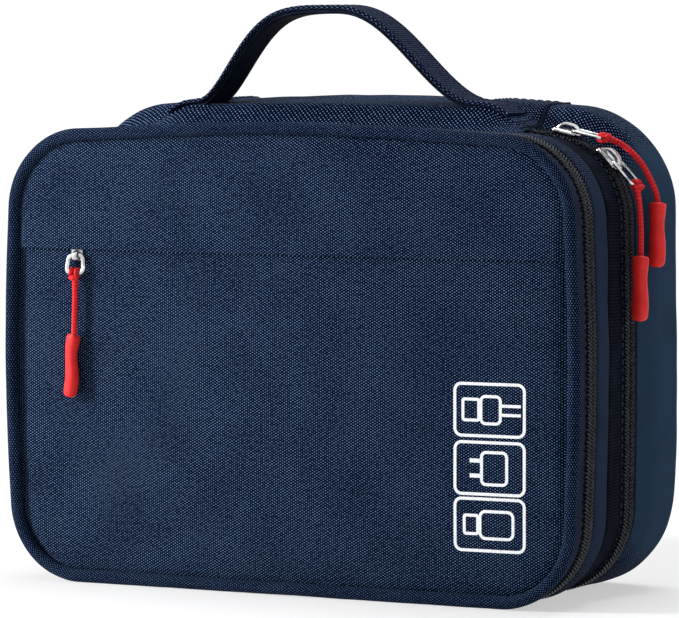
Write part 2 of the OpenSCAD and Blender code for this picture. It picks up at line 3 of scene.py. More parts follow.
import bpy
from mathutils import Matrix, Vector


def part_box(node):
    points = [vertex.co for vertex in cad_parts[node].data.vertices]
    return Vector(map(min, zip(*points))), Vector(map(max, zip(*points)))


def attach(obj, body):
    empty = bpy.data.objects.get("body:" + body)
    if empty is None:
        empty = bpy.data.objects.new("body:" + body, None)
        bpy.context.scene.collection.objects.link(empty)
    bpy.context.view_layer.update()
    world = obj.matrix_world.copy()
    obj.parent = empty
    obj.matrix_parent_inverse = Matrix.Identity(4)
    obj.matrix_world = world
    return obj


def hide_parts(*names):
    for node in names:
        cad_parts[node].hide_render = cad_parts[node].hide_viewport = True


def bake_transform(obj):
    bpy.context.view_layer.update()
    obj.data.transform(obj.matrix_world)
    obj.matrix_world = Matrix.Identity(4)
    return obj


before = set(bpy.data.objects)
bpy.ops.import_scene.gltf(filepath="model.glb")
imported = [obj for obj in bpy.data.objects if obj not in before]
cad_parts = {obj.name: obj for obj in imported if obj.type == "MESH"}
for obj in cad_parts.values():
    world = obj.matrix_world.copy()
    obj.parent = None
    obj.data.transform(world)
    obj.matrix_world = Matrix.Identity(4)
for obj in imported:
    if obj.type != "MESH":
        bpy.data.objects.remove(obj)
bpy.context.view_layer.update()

import math

import bmesh
import bpy
import numpy as np
from mathutils import Matrix, Vector

MM = 0.001
scene = bpy.context.scene

# The case's own sizes, in millimetres, read off the frame
FRONT_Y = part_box("flap_panel")[0].y
HALF_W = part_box("cover_piping")[1].x / MM
CASE_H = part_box("cover_piping")[1].z / MM
BACK_D = (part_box("rear_shell")[1].y - FRONT_Y) / MM
CORNER_R = 35.0
FRONT_ZIP_D = 17.0
VALLEY_D = 38.0
REAR_ZIP_D = 58.0

# Lengths of the outline's nine spans, from the middle of the bottom, right side first, and where each one starts
LEVEL, ARC, UPRIGHT = 2 * (HALF_W - CORNER_R), math.pi / 2 * CORNER_R, CASE_H - 2 * CORNER_R
SPANS = np.array([LEVEL / 2, ARC, UPRIGHT, ARC, LEVEL, ARC, UPRIGHT, ARC, LEVEL / 2])
MARKS = np.concatenate([[0.0], np.cumsum(SPANS)])
TOP_RIGHT, TOP_LEFT = MARKS[4:6]
ROUND = MARKS[-1]

# Where each zip starts on the top left and ends on the top right, all round the bottom
FRONT_ZIP = (TOP_LEFT + 9.1, TOP_RIGHT + 16 + ROUND)
REAR_ZIP = (TOP_LEFT - 9, TOP_RIGHT + 9 + ROUND)


# ---- camera ----

def linked(name, data):
    """A new object in the scene, at the origin."""
    made = bpy.data.objects.new(name, data)
    scene.collection.objects.link(made)
    return made


def make_camera():
    """A long lens in front of the case, turned to its right side and a little above it."""
    yaw, pitch, roll = 0.47451295, 0.06836493, -0.00272638
    ahead = Vector((-math.sin(yaw) * math.cos(pitch), math.cos(yaw) * math.cos(pitch), -math.sin(pitch)))
    right = Vector((math.cos(yaw), math.sin(yaw), 0))
    up = right.cross(ahead)
    c, s = math.cos(roll), math.sin(roll)
    right, up = c * right + s * up, c * up - s * right
    data = bpy.data.cameras.new("camera")
    data.sensor_width = 36
    focal, image_width = 4505.94, 679
    data.lens = focal * data.sensor_width / image_width
    spot = Vector((0.84979, FRONT_Y - 1.60246, 0.24041))
    scene.camera = linked("camera", data)
    scene.camera.matrix_world = Matrix.Translation(spot) @ Matrix((right, up, -ahead)).transposed().to_4x4()


make_camera()


# ---- meshes ----

def place(points):
    """Points in millimetres, as width, depth behind the front and height, become points of the frame in metres."""
    points = np.asarray(points, float)
    return np.stack([points[..., 0] * MM, FRONT_Y + points[..., 1] * MM, points[..., 2] * MM], -1)


def smooth(t):
    """Eases from 0 to 1 as t does: three t squared less two t cubed."""
    t = np.clip(t, 0, 1)
    return t * t * (3 - 2 * t)


def bell(x, half, power=2):
    """One at the middle and nothing at half: one less (x over half) squared, to a power."""
    return np.clip(1 - (x / half) ** 2, 0, 1) ** power


def swirl(t, n):
    """Cosine and sine of t, each raised to 2 over n with its sign kept, which squares a circle off."""
    c, s = np.cos(t), np.sin(t)
    return np.sign(c) * np.abs(c) ** (2 / n), np.sign(s) * np.abs(s) ** (2 / n)


def ripple(u, v, seed, long=60.0, short=14.0, waves=9):
    """Soft unevenness of filled cloth: a sum of slanting sine waves of seeded directions and lengths."""
    rng = np.random.default_rng(seed)
    total = np.zeros(np.broadcast(u, v).shape)
    for size in np.geomspace(long, short, waves):
        turn, phase = rng.uniform(0, 2 * math.pi, 2)
        total = total + size / long * np.sin(2 * math.pi * (u * math.cos(turn) + v * math.sin(turn)) / size + phase)
    return total / 3


def angles(count):
    """Even steps of a full turn."""
    return np.linspace(0, 2 * math.pi, count, endpoint=False)


def far_along(path):
    """Distance from the start at each point of a line."""
    return np.concatenate([[0], np.cumsum(np.linalg.norm(np.diff(path, axis=0), axis=1))])


def grid(u, v):
    """Every pair of a u and a v, as a lattice."""
    return np.stack(np.meshgrid(u, v, indexing="ij"), -1)


def new_piece(name, points, faces, uv=None):
    """A smooth-shaded object of points in millimetres."""
    mesh = bpy.data.meshes.new(name)
    mesh.from_pydata(place(points).tolist(), [], faces)
    if uv is not None:
        layer = mesh.uv_layers.new(name="UVMap")
        layer.data.foreach_set("uv", np.array([x for u in uv for q in u for x in q], np.float32))
    mesh.shade_smooth()
    return linked(name, mesh)


def to_mesh(name, points, faces, uv=None, guide=None):
    """Makes an object; a closed form is turned outwards by its volume, an open one away from its guide point."""
    points = np.asarray(points, float).reshape(-1, 3)
    p, a, b, c = (points[[f[k] for f in faces]] for k in (0, 1, 2, -1))
    normal = np.cross(a - p, b - p) + np.cross(b - p, c - p)
    origin = points.mean(0) if guide is None else np.asarray(guide, float)
    if (normal * ((p + b) / 2 - origin)).sum() <= 0:
        faces = [f[::-1] for f in faces]
        uv = None if uv is None else [u[::-1] for u in uv]
    return new_piece(name, points, faces, uv)


def merge_points(mesh, reach):
    """Joins a mesh's points that lie within a reach of each other, in metres."""
    form = bmesh.new()
    form.from_mesh(mesh)
    bmesh.ops.remove_doubles(form, verts=form.verts, dist=reach)
    form.to_mesh(mesh)
    form.free()


SLOT_OF = {}


def finish_piece(piece, finish, body=None, blend=None, slot=None, hides=()):
    """Gives a piece its material and the body that it moves with, or bakes it where it stands when given a pair of
    bodies; the slot, the material's own unless another is named, is worked out but not kept; the nodes that it stands
    for are hidden."""
    piece.data.materials.clear()
    piece.data.materials.append(finish)
    if blend:
        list(blend)
        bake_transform(piece)
    else:
        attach(piece, body)
    slot or SLOT_OF[finish.name]
    if hides:
        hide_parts(*hides)
    return piece


def squares(nu, nv, close_u=False, close_v=False):
    """Corner numbers of the squares of a lattice, and the same corners on the lattice laid open."""
    i, j = np.meshgrid(np.arange(nu if close_u else nu - 1), np.arange(nv if close_v else nv - 1), indexing="ij")
    k, m = (i + 1) % nu, (j + 1) % nv
    wrapped = np.stack([i * nv + j, k * nv + j, k * nv + m, i * nv + m], -1).reshape(-1, 4)
    wide = nv + (1 if close_v else 0)
    flat = np.stack([i * wide + j, (i + 1) * wide + j, (i + 1) * wide + j + 1, i * wide + j + 1], -1).reshape(-1, 4)
    return wrapped, flat


def skin(name, points, uv, close_u=False, close_v=False, caps=False, guide=None):
    """A lattice of points becomes a surface; its ends are capped when it is a tube."""
    nu, nv = points.shape[:2]
    wrapped, flat = squares(nu, nv, close_u, close_v)
    faces = wrapped.tolist()
    uvs = np.asarray(uv, float).reshape(-1, 2)[flat].tolist()
    if caps:
        first, last = list(range(nv))[::-1], list(range((nu - 1) * nv, nu * nv))
        for cap in (first, last):
            faces.append(cap)
            row = points.reshape(-1, 3)[cap]
            uvs.append(np.stack([row[:, 0] + row[:, 2], row[:, 1]], -1).tolist())
    return to_mesh(name, points, faces, uvs, guide)


def pod(along=6, around=8, square_along=2.0, square_around=2.0):
    """A closed bead from pole to pole on its X axis: half sizes one, rounded more squarely as the squareness grows."""
    t = np.linspace(0, math.pi, along + 1)[1:-1]
    a = angles(around)
    cx, sx = swirl(t, square_along)
    cy, sy = swirl(a, square_around)
    body = np.stack([np.repeat(cx[:, None], around, 1), sx[:, None] * cy[None], sx[:, None] * sy[None]], -1)
    points = np.concatenate([body.reshape(-1, 3), [[1, 0, 0], [-1, 0, 0]]])
    n = len(t) * around
    faces = squares(len(t), around, close_v=True)[0].tolist()
    for k in range(around):
        m = (k + 1) % around
        faces.append([n, m, k])
        faces.append([n + 1, n - around + k, n - around + m])
    return points, faces


def scatter(name, template, centres, axes, sizes):
    """Copies of a small closed form: each point is its centre plus the sized local point along its three axes."""
    points, faces = template
    local = points * np.asarray(sizes, float)
    world = centres[:, None] + np.einsum("pk,nkc->npc", local, axes)
    base = np.array([f + [-1] * (4 - len(f)) for f in faces])
    every = base[None] + (np.arange(len(centres)) * len(points))[:, None, None]
    every = np.where(base[None] < 0, -1, every).reshape(-1, 4)
    lists = [[k for k in row if k >= 0] for row in every.tolist()]
    a, b, c = (points[[f[k] for f in faces]] for k in range(3))
    outward = (np.cross(b - a, c - a) * (a + b + c)).sum() > 0
    if outward != (np.linalg.det(axes[0]) > 0):
        lists = [f[::-1] for f in lists]
    return new_piece(name, world.reshape(-1, 3), lists)


def axes_on(steps, up):
    """Directions along a line's steps, across them and up, with up made square to the steps."""
    along = steps / np.linalg.norm(steps, axis=1, keepdims=True)
    up = np.broadcast_to(up, along.shape)
    up = up - (up * along).sum(1, keepdims=True) * along
    up = up / np.linalg.norm(up, axis=1, keepdims=True)
    return along, np.cross(up, along), up


def path_axes(path, up, close=False):
    """Directions along, across and up at each point of a path, which may close on itself."""
    return axes_on(np.roll(path, -1, 0) - np.roll(path, 1, 0) if close else np.gradient(path, axis=0), up)


def even(path, step):
    """Points at even steps along a line."""
    path = np.asarray(path, float)
    far = far_along(path)
    at = np.linspace(0, far[-1], max(int(round(far[-1] / step)), 2) + 1)
    return np.stack([np.interp(at, far, path[:, k]) for k in range(3)], -1)


def spline(points, count):
    """A smooth line through points, made of a cubic between each pair whose slopes come from the neighbours."""
    p = np.asarray(points, float)
    q = np.concatenate([[2 * p[0] - p[1]], p, [2 * p[-1] - p[-2]]])
    t = np.linspace(0, len(p) - 1 - 1e-9, count)
    k = t.astype(int)
    f = (t - k)[:, None]
    a, b, c, d = q[k], q[k + 1], q[k + 2], q[k + 3]
    return b + 0.5 * f * (c - a + f * (2 * a - 5 * b + 4 * c - d + f * (3 * (b - c) + d - a)))


def tube(name, path, radius, up=(0, 1, 0.001), sides=12, close=False, flat=1.0, power=2.0, bumps=None):
    """A round or flattened bar carried along a path: each ring is a squared-off circle of the path's radius there,
    times its bumps."""
    path = np.asarray(path, float)
    across, top = path_axes(path, np.asarray(up, float), close)[1:]
    ca, sa = swirl(angles(sides), power)
    radius = np.broadcast_to(radius, len(path))[:, None]
    if bumps is not None:
        radius = radius * bumps
    points = path[:, None] + radius[..., None] * (ca[None, :, None] * across[:, None]
                                                  + flat * sa[None, :, None] * top[:, None])
    girth = np.linspace(0, 2 * math.pi * float(radius.max()), sides + 1)
    uv = grid(far_along(np.concatenate([path, path[:1]]) if close else path), girth)
    return skin(name, points, uv, close_u=close, close_v=True, caps=not close)


def joined(name, pieces):
    """Several loose forms become one object."""
    whole = bmesh.new()
    for piece in pieces:
        whole.from_mesh(piece.data)
        mesh = piece.data
        bpy.data.objects.remove(piece)
        bpy.data.meshes.remove(mesh)
    mesh = bpy.data.meshes.new(name)
    whole.to_mesh(mesh)
    whole.free()
    mesh.shade_smooth()
    return linked(name, mesh)


def thicken(piece, thickness):
    """Gives a sheet its thickness, inwards from its face."""
    wall = piece.modifiers.new("thickness", "SOLIDIFY")
    wall.thickness = thickness * MM
    wall.offset = -1.0
    wall.use_rim = True
    wall.use_even_offset = True
    return piece


def crease(piece, angle=40):
    """Keeps edges sharper than an angle crisp."""
    piece.data.set_sharp_from_angle(angle=math.radians(angle))
    return piece


# ---- the case's form ----

def outline(s, depth):
    """The case's outline at a depth, s millimetres round from the middle of the bottom: straight sides and round
    corners, crowned by a bell on the sides and the top, and swelling out behind the rear zip."""
    s, depth = np.broadcast_arrays(np.asarray(s, float), np.asarray(depth, float))
    s = np.mod(s, ROUND)
    side = smooth((depth - 63) / 11)
    early = np.maximum(smooth((depth - 41) / 9), side)
    ledges = [0, FRONT_ZIP_D, VALLEY_D, REAR_ZIP_D, 75]
    centre = smooth((s - TOP_RIGHT - 2) / 24) * smooth((TOP_LEFT - 2 - s) / 24)
    lift = side + (early - side) * centre
    half = HALF_W + 4.2 * side
    top = CASE_H + 9 * lift
    radius = np.interp(depth, ledges[:4], [31, 33, 34, 35]) + 4 * side
    crown_x = np.interp(depth, ledges, [3.0, 2.4, 1.4, 0.7, 2.0])
    crown_z = np.interp(depth, ledges, [4.6, 3.6, 2.2, 2.4, 5.0])
    a, b0, b1, nil = half - radius, radius, top - radius, 0 * half
    px = np.stack([nil, a, half, half, a, -a, -half, -half, -a, nil])
    pz = np.stack([nil, nil, b0, b1, top, top, b1, b0, nil, nil])
    k = np.clip(np.searchsorted(MARKS, s, side="right") - 1, 0, 8)
    t = (s - MARKS[k]) / SPANS[k]
    (x, x1), (z, z1) = ([np.take_along_axis(table, n[None], 0)[0] for n in (k, k + 1)] for table in (px, pz))
    x, z = x + t * (x1 - x), z + t * (z1 - z)
    turn = (k // 2 - 1 + t) * math.pi / 2
    x = np.where(k % 2 == 1, np.where(k < 4, a, -a) + radius * np.cos(turn), x)
    z = np.where(k % 2 == 1, np.where((k == 1) | (k == 7), b0, b1) + radius * np.sin(turn), z)
    up = (z - top / 2) / (top / 2)
    x = x * (1 + crown_x / half * bell(up, 1.0))
    z = z + crown_z * bell(x, half) * smooth((z - b1) / radius)
    return x, z


def rim(s, depth, inset=0.0):
    """A point on the case's outline, drawn in by an inset along the outline's own normal."""
    s, depth, inset = np.broadcast_arrays(np.asarray(s, float), np.asarray(depth, float), np.asarray(inset, float))
    x0, z0 = outline(s - 0.6, depth)
    x1, z1 = outline(s + 0.6, depth)
    tx, tz = x1 - x0, z1 - z0
    far = np.hypot(tx, tz)
    x, z = outline(s, depth)
    return np.stack([x - inset * tz / far, depth, z + inset * tx / far], -1)


def rim_axes(s, depth, slant=0.0):
    """Three directions on the outline, slanted in its plane: front to back, along and outwards."""
    ahead = rim(s + 0.6, depth) - rim(s - 0.6, depth)
    along = ahead / np.linalg.norm(ahead, axis=-1, keepdims=True)
    out = rim(s, depth, -1.0) - rim(s, depth)
    back = np.zeros_like(out)
    back[..., 1] = 1
    c, w = math.cos(slant), math.sin(slant)
    return np.stack([c * back + w * along, c * along - w * back, out], -2)


def carried(s0, s1, profile, step):
    """A profile of depths and insets set out at even steps round the case: whether it closes a full turn, the places,
    their lengths for the weave, and the depths and insets at each place."""
    whole = abs(s1 - s0 - ROUND) < 1e-6
    n = int(round((s1 - s0) / step))
    s = np.linspace(s0, s1, n, endpoint=not whole)
    depth, inset = (np.broadcast_to(profile[:, k], (n, len(profile))) for k in (0, 1))
    return whole, s[:, None], np.linspace(s0, s1, n + 1) if whole else s, depth, inset


def strip(name, s0, s1, profile, step=2.0, wave=0.0, seed=0):
    """A closed profile of depth and inset carried round the case between two places; a full turn closes on itself. Its
    outer side is raised and sunk by a ripple that runs round the case."""
    profile = np.asarray(profile, float)
    whole, s, length, depth, inset = carried(s0, s1, profile, step)
    if wave:
        around = 2 * math.pi * s / ROUND
        uneven = ripple(120 * np.cos(around), 120 * np.sin(around) + depth, seed, 50, 12)
        inset = inset + wave * uneven * (inset < inset.min() + 1.2)
    girth = far_along(np.concatenate([profile, profile[:1]]))
    return skin(name, rim(s, depth, inset), grid(length, girth), close_u=whole, close_v=True, caps=not whole)


def rim_sheet(name, s0, s1, profile, step=2.0, wave=0.0, seed=0):
    """An open sheet round the case: a line of depths and insets carried from one place to another, and rippled."""
    profile = np.asarray(profile, float)
    whole, s, length, depth, inset = carried(s0, s1, profile, step)
    around = 2 * math.pi * s / ROUND
    inset = inset + wave * ripple(130 * np.cos(around), 130 * np.sin(around) + depth, seed, 70, 16)
    middle = (0, profile[:, 0].mean() - 20, CASE_H / 2)
    return skin(name, rim(s, depth, inset), grid(length, far_along(profile)), close_u=whole, guide=middle)


def hump(d0, d1, base, height, power):
    """Profile of a sewn strip: a squared-off half round between two depths, closed a little way underneath."""
    c, s = swirl(np.linspace(0, math.pi, 18), power)
    under = base + 0.6
    top = np.stack([(d0 + d1) / 2 - (d1 - d0) / 2 * c, base - height * s], -1)
    return np.concatenate([top, [[d1, under], [d0, under]]])


def round_bar(depth, inset, radius, sides):
    """Profile of a round cord lying on the case."""
    a = angles(sides)
    return np.stack([depth + radius * np.cos(a), inset - radius * np.sin(a)], -1)


COIL_PITCH = 1.5
TOOTH = pod(5, 6, 3.2)


def teeth(name, s0, s1, depth, inset, slant, shift, reach):
    """One half of a coil: slanting beads in a row, one to each pitch and each as long as its reach on both sides."""
    s = np.arange(s0 + 2 + shift, s1 - 2, COIL_PITCH)
    axes = rim_axes(s, np.full(len(s), depth), slant)
    centres = rim(s, np.full(len(s), depth), inset)
    return scatter(name, TOOTH, centres, axes, (reach, 0.45, 0.98))


STITCH = (1.35, 0.3, 0.26)
STITCH_GAP = 0.7


def stitches(name, path, out):
    """A row of short thread beads along a line, each half sunk in the cloth."""
    middle = even(path, 2 * STITCH[0] + STITCH_GAP)
    spots = (middle[1:] + middle[:-1]) / 2
    if np.ndim(out) > 1:
        at, known = np.linspace(0, 1, len(spots)), np.linspace(0, 1, len(out))
        out = np.stack([np.interp(at, known, out[:, k]) for k in range(3)], -1)
    axes = axes_on(middle[1:] - middle[:-1], np.asarray(out, float))
    return scatter(name, pod(4, 5), spots, np.stack(axes, -2), STITCH)


def rim_stitches(name, s0, s1, depth, inset):
    """A row of stitches round the case at one depth."""
    s = np.arange(s0, s1, 2.0)
    path = rim(s, depth, inset)
    out = rim(s, depth, inset - 1) - path
    return stitches(name, path, out)


# ---- materials ----

def colour(r, g, b):
    return (r, g, b, 1.0)


BLACK, WHITE = colour(0, 0, 0), colour(1, 1, 1)


class Graph:
    """Nodes and links of one material or group."""

    def __init__(self, tree):
        self.tree = tree

    def put(self, socket, value):
        if isinstance(value, bpy.types.NodeSocket):
            self.tree.links.new(value, socket)
        else:
            socket.default_value = value

    def add(self, kind, sockets=None, **settings):
        made = self.tree.nodes.new(kind)
        for key, value in settings.items():
            setattr(made, key, value)
        for key, value in (sockets or {}).items():
            self.put(made.inputs[key], value)
        return made

    def math(self, operation, *values):
        made = self.add("ShaderNodeMath", operation=operation)
        for k, value in enumerate(values):
            self.put(made.inputs[k], value)
        return made.outputs[0]

    def times(self, a, b):
        return self.math("MULTIPLY", a, b)

    def plus(self, a, b):
        return self.math("ADD", a, b)

    def less(self, a, b):
        return self.math("SUBTRACT", a, b)

    def waves(self, value, length):
        """Sine of a value, a half wave to each length."""
        return self.math("SINE", self.math("DIVIDE", self.times(value, math.pi), length))

    def ease(self, value, low, high, out_low=0.0, out_high=1.0):
        made = self.add("ShaderNodeMapRange", {"Value": value, "From Min": low, "From Max": high,
                                               "To Min": out_low, "To Max": out_high}, interpolation_type="SMOOTHSTEP")
        return made.outputs[0]

    def mix(self, factor, a, b, blend="MIX"):
        made = self.add("ShaderNodeMix", data_type="RGBA", blend_type=blend)
        for k, value in zip((0, 6, 7), (factor, a, b)):
            self.put(made.inputs[k], value)
        return made.outputs[2]

    def noise(self, vector, scale, detail=3.0):
        return self.add("ShaderNodeTexNoise", {"Vector": vector, "Scale": scale, "Detail": detail}).outputs["Fac"]


def fresh_graph(owner):
    """The emptied node tree of a material or a world."""
    owner.use_nodes = True
    owner.node_tree.nodes.clear()
    return Graph(owner.node_tree)


def new_group(name, inputs, outputs=("Color", "Height")):
    """An empty shader node group that takes a place and named inputs, each a colour or a number as its value is."""
    tree = bpy.data.node_groups.new(name, "ShaderNodeTree")
    tree.interface.new_socket(name="Place", in_out="INPUT", socket_type="NodeSocketVector")
    for label, value in inputs.items():
        kind = "NodeSocketColor" if isinstance(value, tuple) else "NodeSocketFloat"
        tree.interface.new_socket(name=label, in_out="INPUT", socket_type=kind).default_value = value
    for label in outputs:
        kind = "NodeSocketColor" if label == "Color" else "NodeSocketFloat"
        tree.interface.new_socket(name=label, in_out="OUTPUT", socket_type=kind)
    graph = Graph(tree)
    graph.given = tree.nodes.new("NodeGroupInput").outputs
    graph.out = tree.nodes.new("NodeGroupOutput").inputs
    return graph


def make_weave():
    """Oxford cloth: the thread crossings are the product of a sine across and a sine along, in three tones: painted
    shade in the gaps, the cloth's own colour, and a painted highlight on the raised threads; the fade evens them out
    into a plain tone painted for the grazing light on the case's ends."""
    g = new_group("oxford_weave", {"Across": 0.97, "Along": 0.57, "Ground": BLACK, "Middle": colour(0.5, 0.5, 0.5),
                                   "Thread_Highlight": WHITE, "Grazing_Tone": colour(0.3, 0.3, 0.3), "Fade": 0.0})
    where = g.given["Place"]
    wander = g.add("ShaderNodeTexNoise", {"Vector": where, "Scale": 0.2, "Detail": 1.0}).outputs["Color"]
    shifted = g.add("ShaderNodeVectorMath", {0: wander, 1: (0.26, 0.1, 0)}, operation="MULTIPLY").outputs[0]
    moved = g.add("ShaderNodeVectorMath", {0: where, 1: shifted}, operation="ADD").outputs[0]
    xyz = g.add("ShaderNodeSeparateXYZ", {0: moved}).outputs
    a = g.waves(xyz[0], g.given["Across"])
    b = g.waves(xyz[1], g.given["Along"])
    crossing = g.times(a, b)
    speck = g.ease(g.noise(where, 0.8, 2.0), 0.3, 0.7, 0.7, 1.3)
    patchy = g.ease(g.noise(where, 0.035, 4.0), 0.3, 0.7, 0.9, 1.1)
    mask = g.times(g.ease(crossing, 0.12, 0.95), g.times(speck, patchy))
    # Where the mask is low the ground tone shows, painted shade in the gaps between threads; the crest above it takes
    # the thread tone, a painted highlight.
    rise = g.math("MINIMUM", g.times(mask, 2.0), 1.0)
    crest_highlight = g.math("MINIMUM", g.math("MAXIMUM", g.less(g.times(mask, 2.0), 1.0), 0.0), 1.6)
    woven = g.mix(crest_highlight, g.mix(rise, g.given["Ground"], g.given["Middle"]), g.given["Thread_Highlight"])
    # On the case's ends the pattern gives way to a plain tone, painted for how the light grazes them there.
    grazing_plain = g.mix(patchy, BLACK, g.given["Grazing_Tone"])
    g.put(g.out["Color"], g.mix(g.given["Fade"], woven, grazing_plain))
    g.put(g.out["Height"], g.times(g.math("ABSOLUTE", crossing), g.less(1.0, g.given["Fade"])))
    return g.tree


def make_ribs():
    """Woven tape: fine cross ribs from a sine along it, broken up by threads."""
    g = new_group("tape_ribs", {"Spacing": 0.8, "Ground": BLACK, "Ridge": WHITE})
    xyz = g.add("ShaderNodeSeparateXYZ", {0: g.given["Place"]}).outputs
    wave = g.math("SINE", g.math("DIVIDE", g.times(xyz[0], 2 * math.pi), g.given["Spacing"]))
    warp = g.math("SINE", g.times(xyz[1], 2 * math.pi / 1.1))
    ridge = g.plus(g.times(wave, 0.32), g.times(warp, 0.14))
    worn = g.times(g.noise(g.given["Place"], 0.12, 4.0), 1.1)
    mask = g.math("MAXIMUM", g.plus(ridge, g.less(worn, 0.1)), 0.0)
    g.put(g.out["Color"], g.mix(g.math("MINIMUM", mask, 1.0), g.given["Ground"], g.given["Ridge"]))
    g.put(g.out["Height"], ridge)
    return g.tree


def make_braid():
    """Braided cord: two sets of strands winding opposite ways, as the product of two slanting sines."""
    g = new_group("cord_braid", {"Pitch": 1.5, "Ground": BLACK, "Strand": WHITE})
    xyz = g.add("ShaderNodeSeparateXYZ", {0: g.given["Place"]}).outputs
    u = g.math("DIVIDE", g.times(xyz[0], math.pi), g.given["Pitch"])
    v = g.times(xyz[1], math.pi / 0.95)
    woven = g.times(g.math("SINE", g.plus(u, v)), g.math("SINE", g.less(u, v)))
    mask = g.times(g.ease(woven, -0.5, 0.5), g.ease(g.noise(g.given["Place"], 2.0, 2.0), 0.2, 0.6, 0.6, 1.0))
    g.put(g.out["Color"], g.mix(mask, g.given["Ground"], g.given["Strand"]))
    g.put(g.out["Height"], woven)
    return g.tree


def make_mottle():
    """Moulded or rubbed surface: broad patches and a fine grain of noise between two colours; on the coil the lighter
    patches are painted glints and on the metal the darker ones painted dark reflections.
    """
    g = new_group("mottle_and_reflections", {"Patch": 60.0, "Grain": 1800.0, "Low": BLACK, "High": WHITE}, ("Color", "Height", "Mask"))
    broad = g.noise(g.given["Place"], g.given["Patch"], 4.0)
    grain = g.noise(g.given["Place"], g.given["Grain"], 2.0)
    mask = g.ease(g.plus(g.times(broad, 0.7), g.times(grain, 0.3)), 0.32, 0.68)
    g.put(g.out["Color"], g.mix(mask, g.given["Low"], g.given["High"]))
    g.put(g.out["Height"], grain)
    g.put(g.out["Mask"], mask)
    return g.tree


def make_net():
    """Open net: threads where a sine across or a sine along is near nothing, with round holes between."""
    g = new_group("open_net", {"Cell": 2.1}, ("Mask", "Height"))
    xyz = g.add("ShaderNodeSeparateXYZ", {0: g.given["Place"]}).outputs
    slanting = [g.waves(mixed, g.given["Cell"]) for mixed in (g.plus(xyz[0], xyz[1]), g.less(xyz[0], xyz[1]))]
    hole = g.math("ABSOLUTE", g.times(*slanting))
    g.put(g.out["Mask"], g.ease(hole, 0.42, 0.3))
    g.put(g.out["Height"], g.less(1.0, hole))
    return g.tree


WEAVE, RIBS, BRAID, MOTTLE_AND_REFLECTIONS, NET = make_weave(), make_ribs(), make_braid(), make_mottle(), make_net()


def material(name, slot, group, tones, rough, bump=0.3, deep=0.0001, gloss=0.02, source="UV", mask=None, graze_fade=None,
             **sockets):
    """A Principled surface whose colour and relief come from a pattern group; constants sit on its own sockets, or on
    the group's where it has them. A fade gives the distances from the case's middle between which the pattern evens
    out into a plain tone painted for the grazing light on the case's ends, and how far."""
    made = bpy.data.materials.new(name)
    SLOT_OF[made.name] = slot
    g = fresh_graph(made)
    where = g.add("ShaderNodeTexCoord").outputs["Object" if group == MOTTLE_AND_REFLECTIONS else source]
    if source == "Object":
        turned = g.add("ShaderNodeMapping", {"Vector": where, "Rotation": (math.pi / 2, 0, 0), "Scale": (1000,) * 3})
        where = turned.outputs[0]
    pattern = g.add("ShaderNodeGroup", node_tree=group)
    g.put(pattern.inputs["Place"], where)
    for socket, tone in zip([s for s in pattern.inputs if s.type == "RGBA"], tones):
        socket.default_value = colour(*tone)
    if graze_fade:
        far = g.add("ShaderNodeSeparateXYZ", {0: g.add("ShaderNodeTexCoord").outputs["Object"]}).outputs[0]
        g.put(pattern.inputs["Fade"], g.ease(g.math("ABSOLUTE", far), graze_fade[0], graze_fade[1], 0.0, graze_fade[2]))
    relief = g.add("ShaderNodeBump", {"Height": pattern.outputs["Height"], "Strength": bump, "Distance": deep})
    surface = g.add("ShaderNodeBsdfPrincipled", {"Normal": relief.outputs[0], "Roughness": rough,
                                                 "Specular IOR Level": gloss})
    for key, value in sockets.items():
        g.put((pattern if key in pattern.inputs else surface).inputs[key.replace("_", " ")], value)
    if "Base_Color" not in sockets:
        g.put(surface.inputs["Base Color"], pattern.outputs["Color"])
    if mask:
        g.put(surface.inputs[mask], pattern.outputs["Mask"])
    g.add("ShaderNodeOutputMaterial", {"Surface": surface.outputs[0]})
    return made


# Each weave material's tones run ground, middle and thread: painted shade in the gaps, the cloth's own colour, and a
# painted highlight on the raised threads.
NAVY = [(0.0, 0.0005, 0.008), (0.004, 0.017, 0.053), (0.165, 0.26, 0.43)]
GREY = [(0.008, 0.009, 0.012), (0.026, 0.028, 0.034), (0.075, 0.08, 0.092)]
oxford = material("navy_oxford", "navy_oxford", WEAVE, NAVY, 0.8, 0.35, 0.00012)
# The side and band copies of the navy oxford take a fourth, plain tone, painted for the grazing light on the case's
# left and right ends, where their fade brings it in.
oxford_side = material("navy_oxford_side", "navy_oxford", WEAVE, NAVY + [(0.023, 0.048, 0.088)], 0.8, 0.3, 0.00012,
                       graze_fade=(0.119, 0.128, 0.9))
oxford_band = material("navy_oxford_band", "navy_oxford", WEAVE, [
    (0.0, 0.002, 0.01), (0.013, 0.027, 0.062), (0.15, 0.2, 0.3), (0.017, 0.028, 0.056)], 0.8, 0.3, 0.00012,
    graze_fade=(0.121, 0.129, 0.9))
oxford_piping = material("navy_piping", "navy_piping", WEAVE, [
    (0.0, 0.001, 0.01), (0.009, 0.025, 0.064), (0.11, 0.17, 0.28)], 0.8, 0.35, 0.00012, Across=0.9)
binding = material("dark_binding", "dark_binding", RIBS, [(0.002, 0.003, 0.009), (0.018, 0.024, 0.044)], 0.75, 0.3,
                   Spacing=0.9)
gusset_cloth = material("smooth_tape", "dark_binding", RIBS, [(0.006, 0.009, 0.021), (0.026, 0.033, 0.064)], 0.72, 0.15,
                        Spacing=0.6)
zip_tape = material("zip_tape", "zip_black", RIBS, [(0.001, 0.001, 0.003), (0.011, 0.015, 0.027)], 0.8, 0.4, 0.00015,
                    Spacing=1.3)
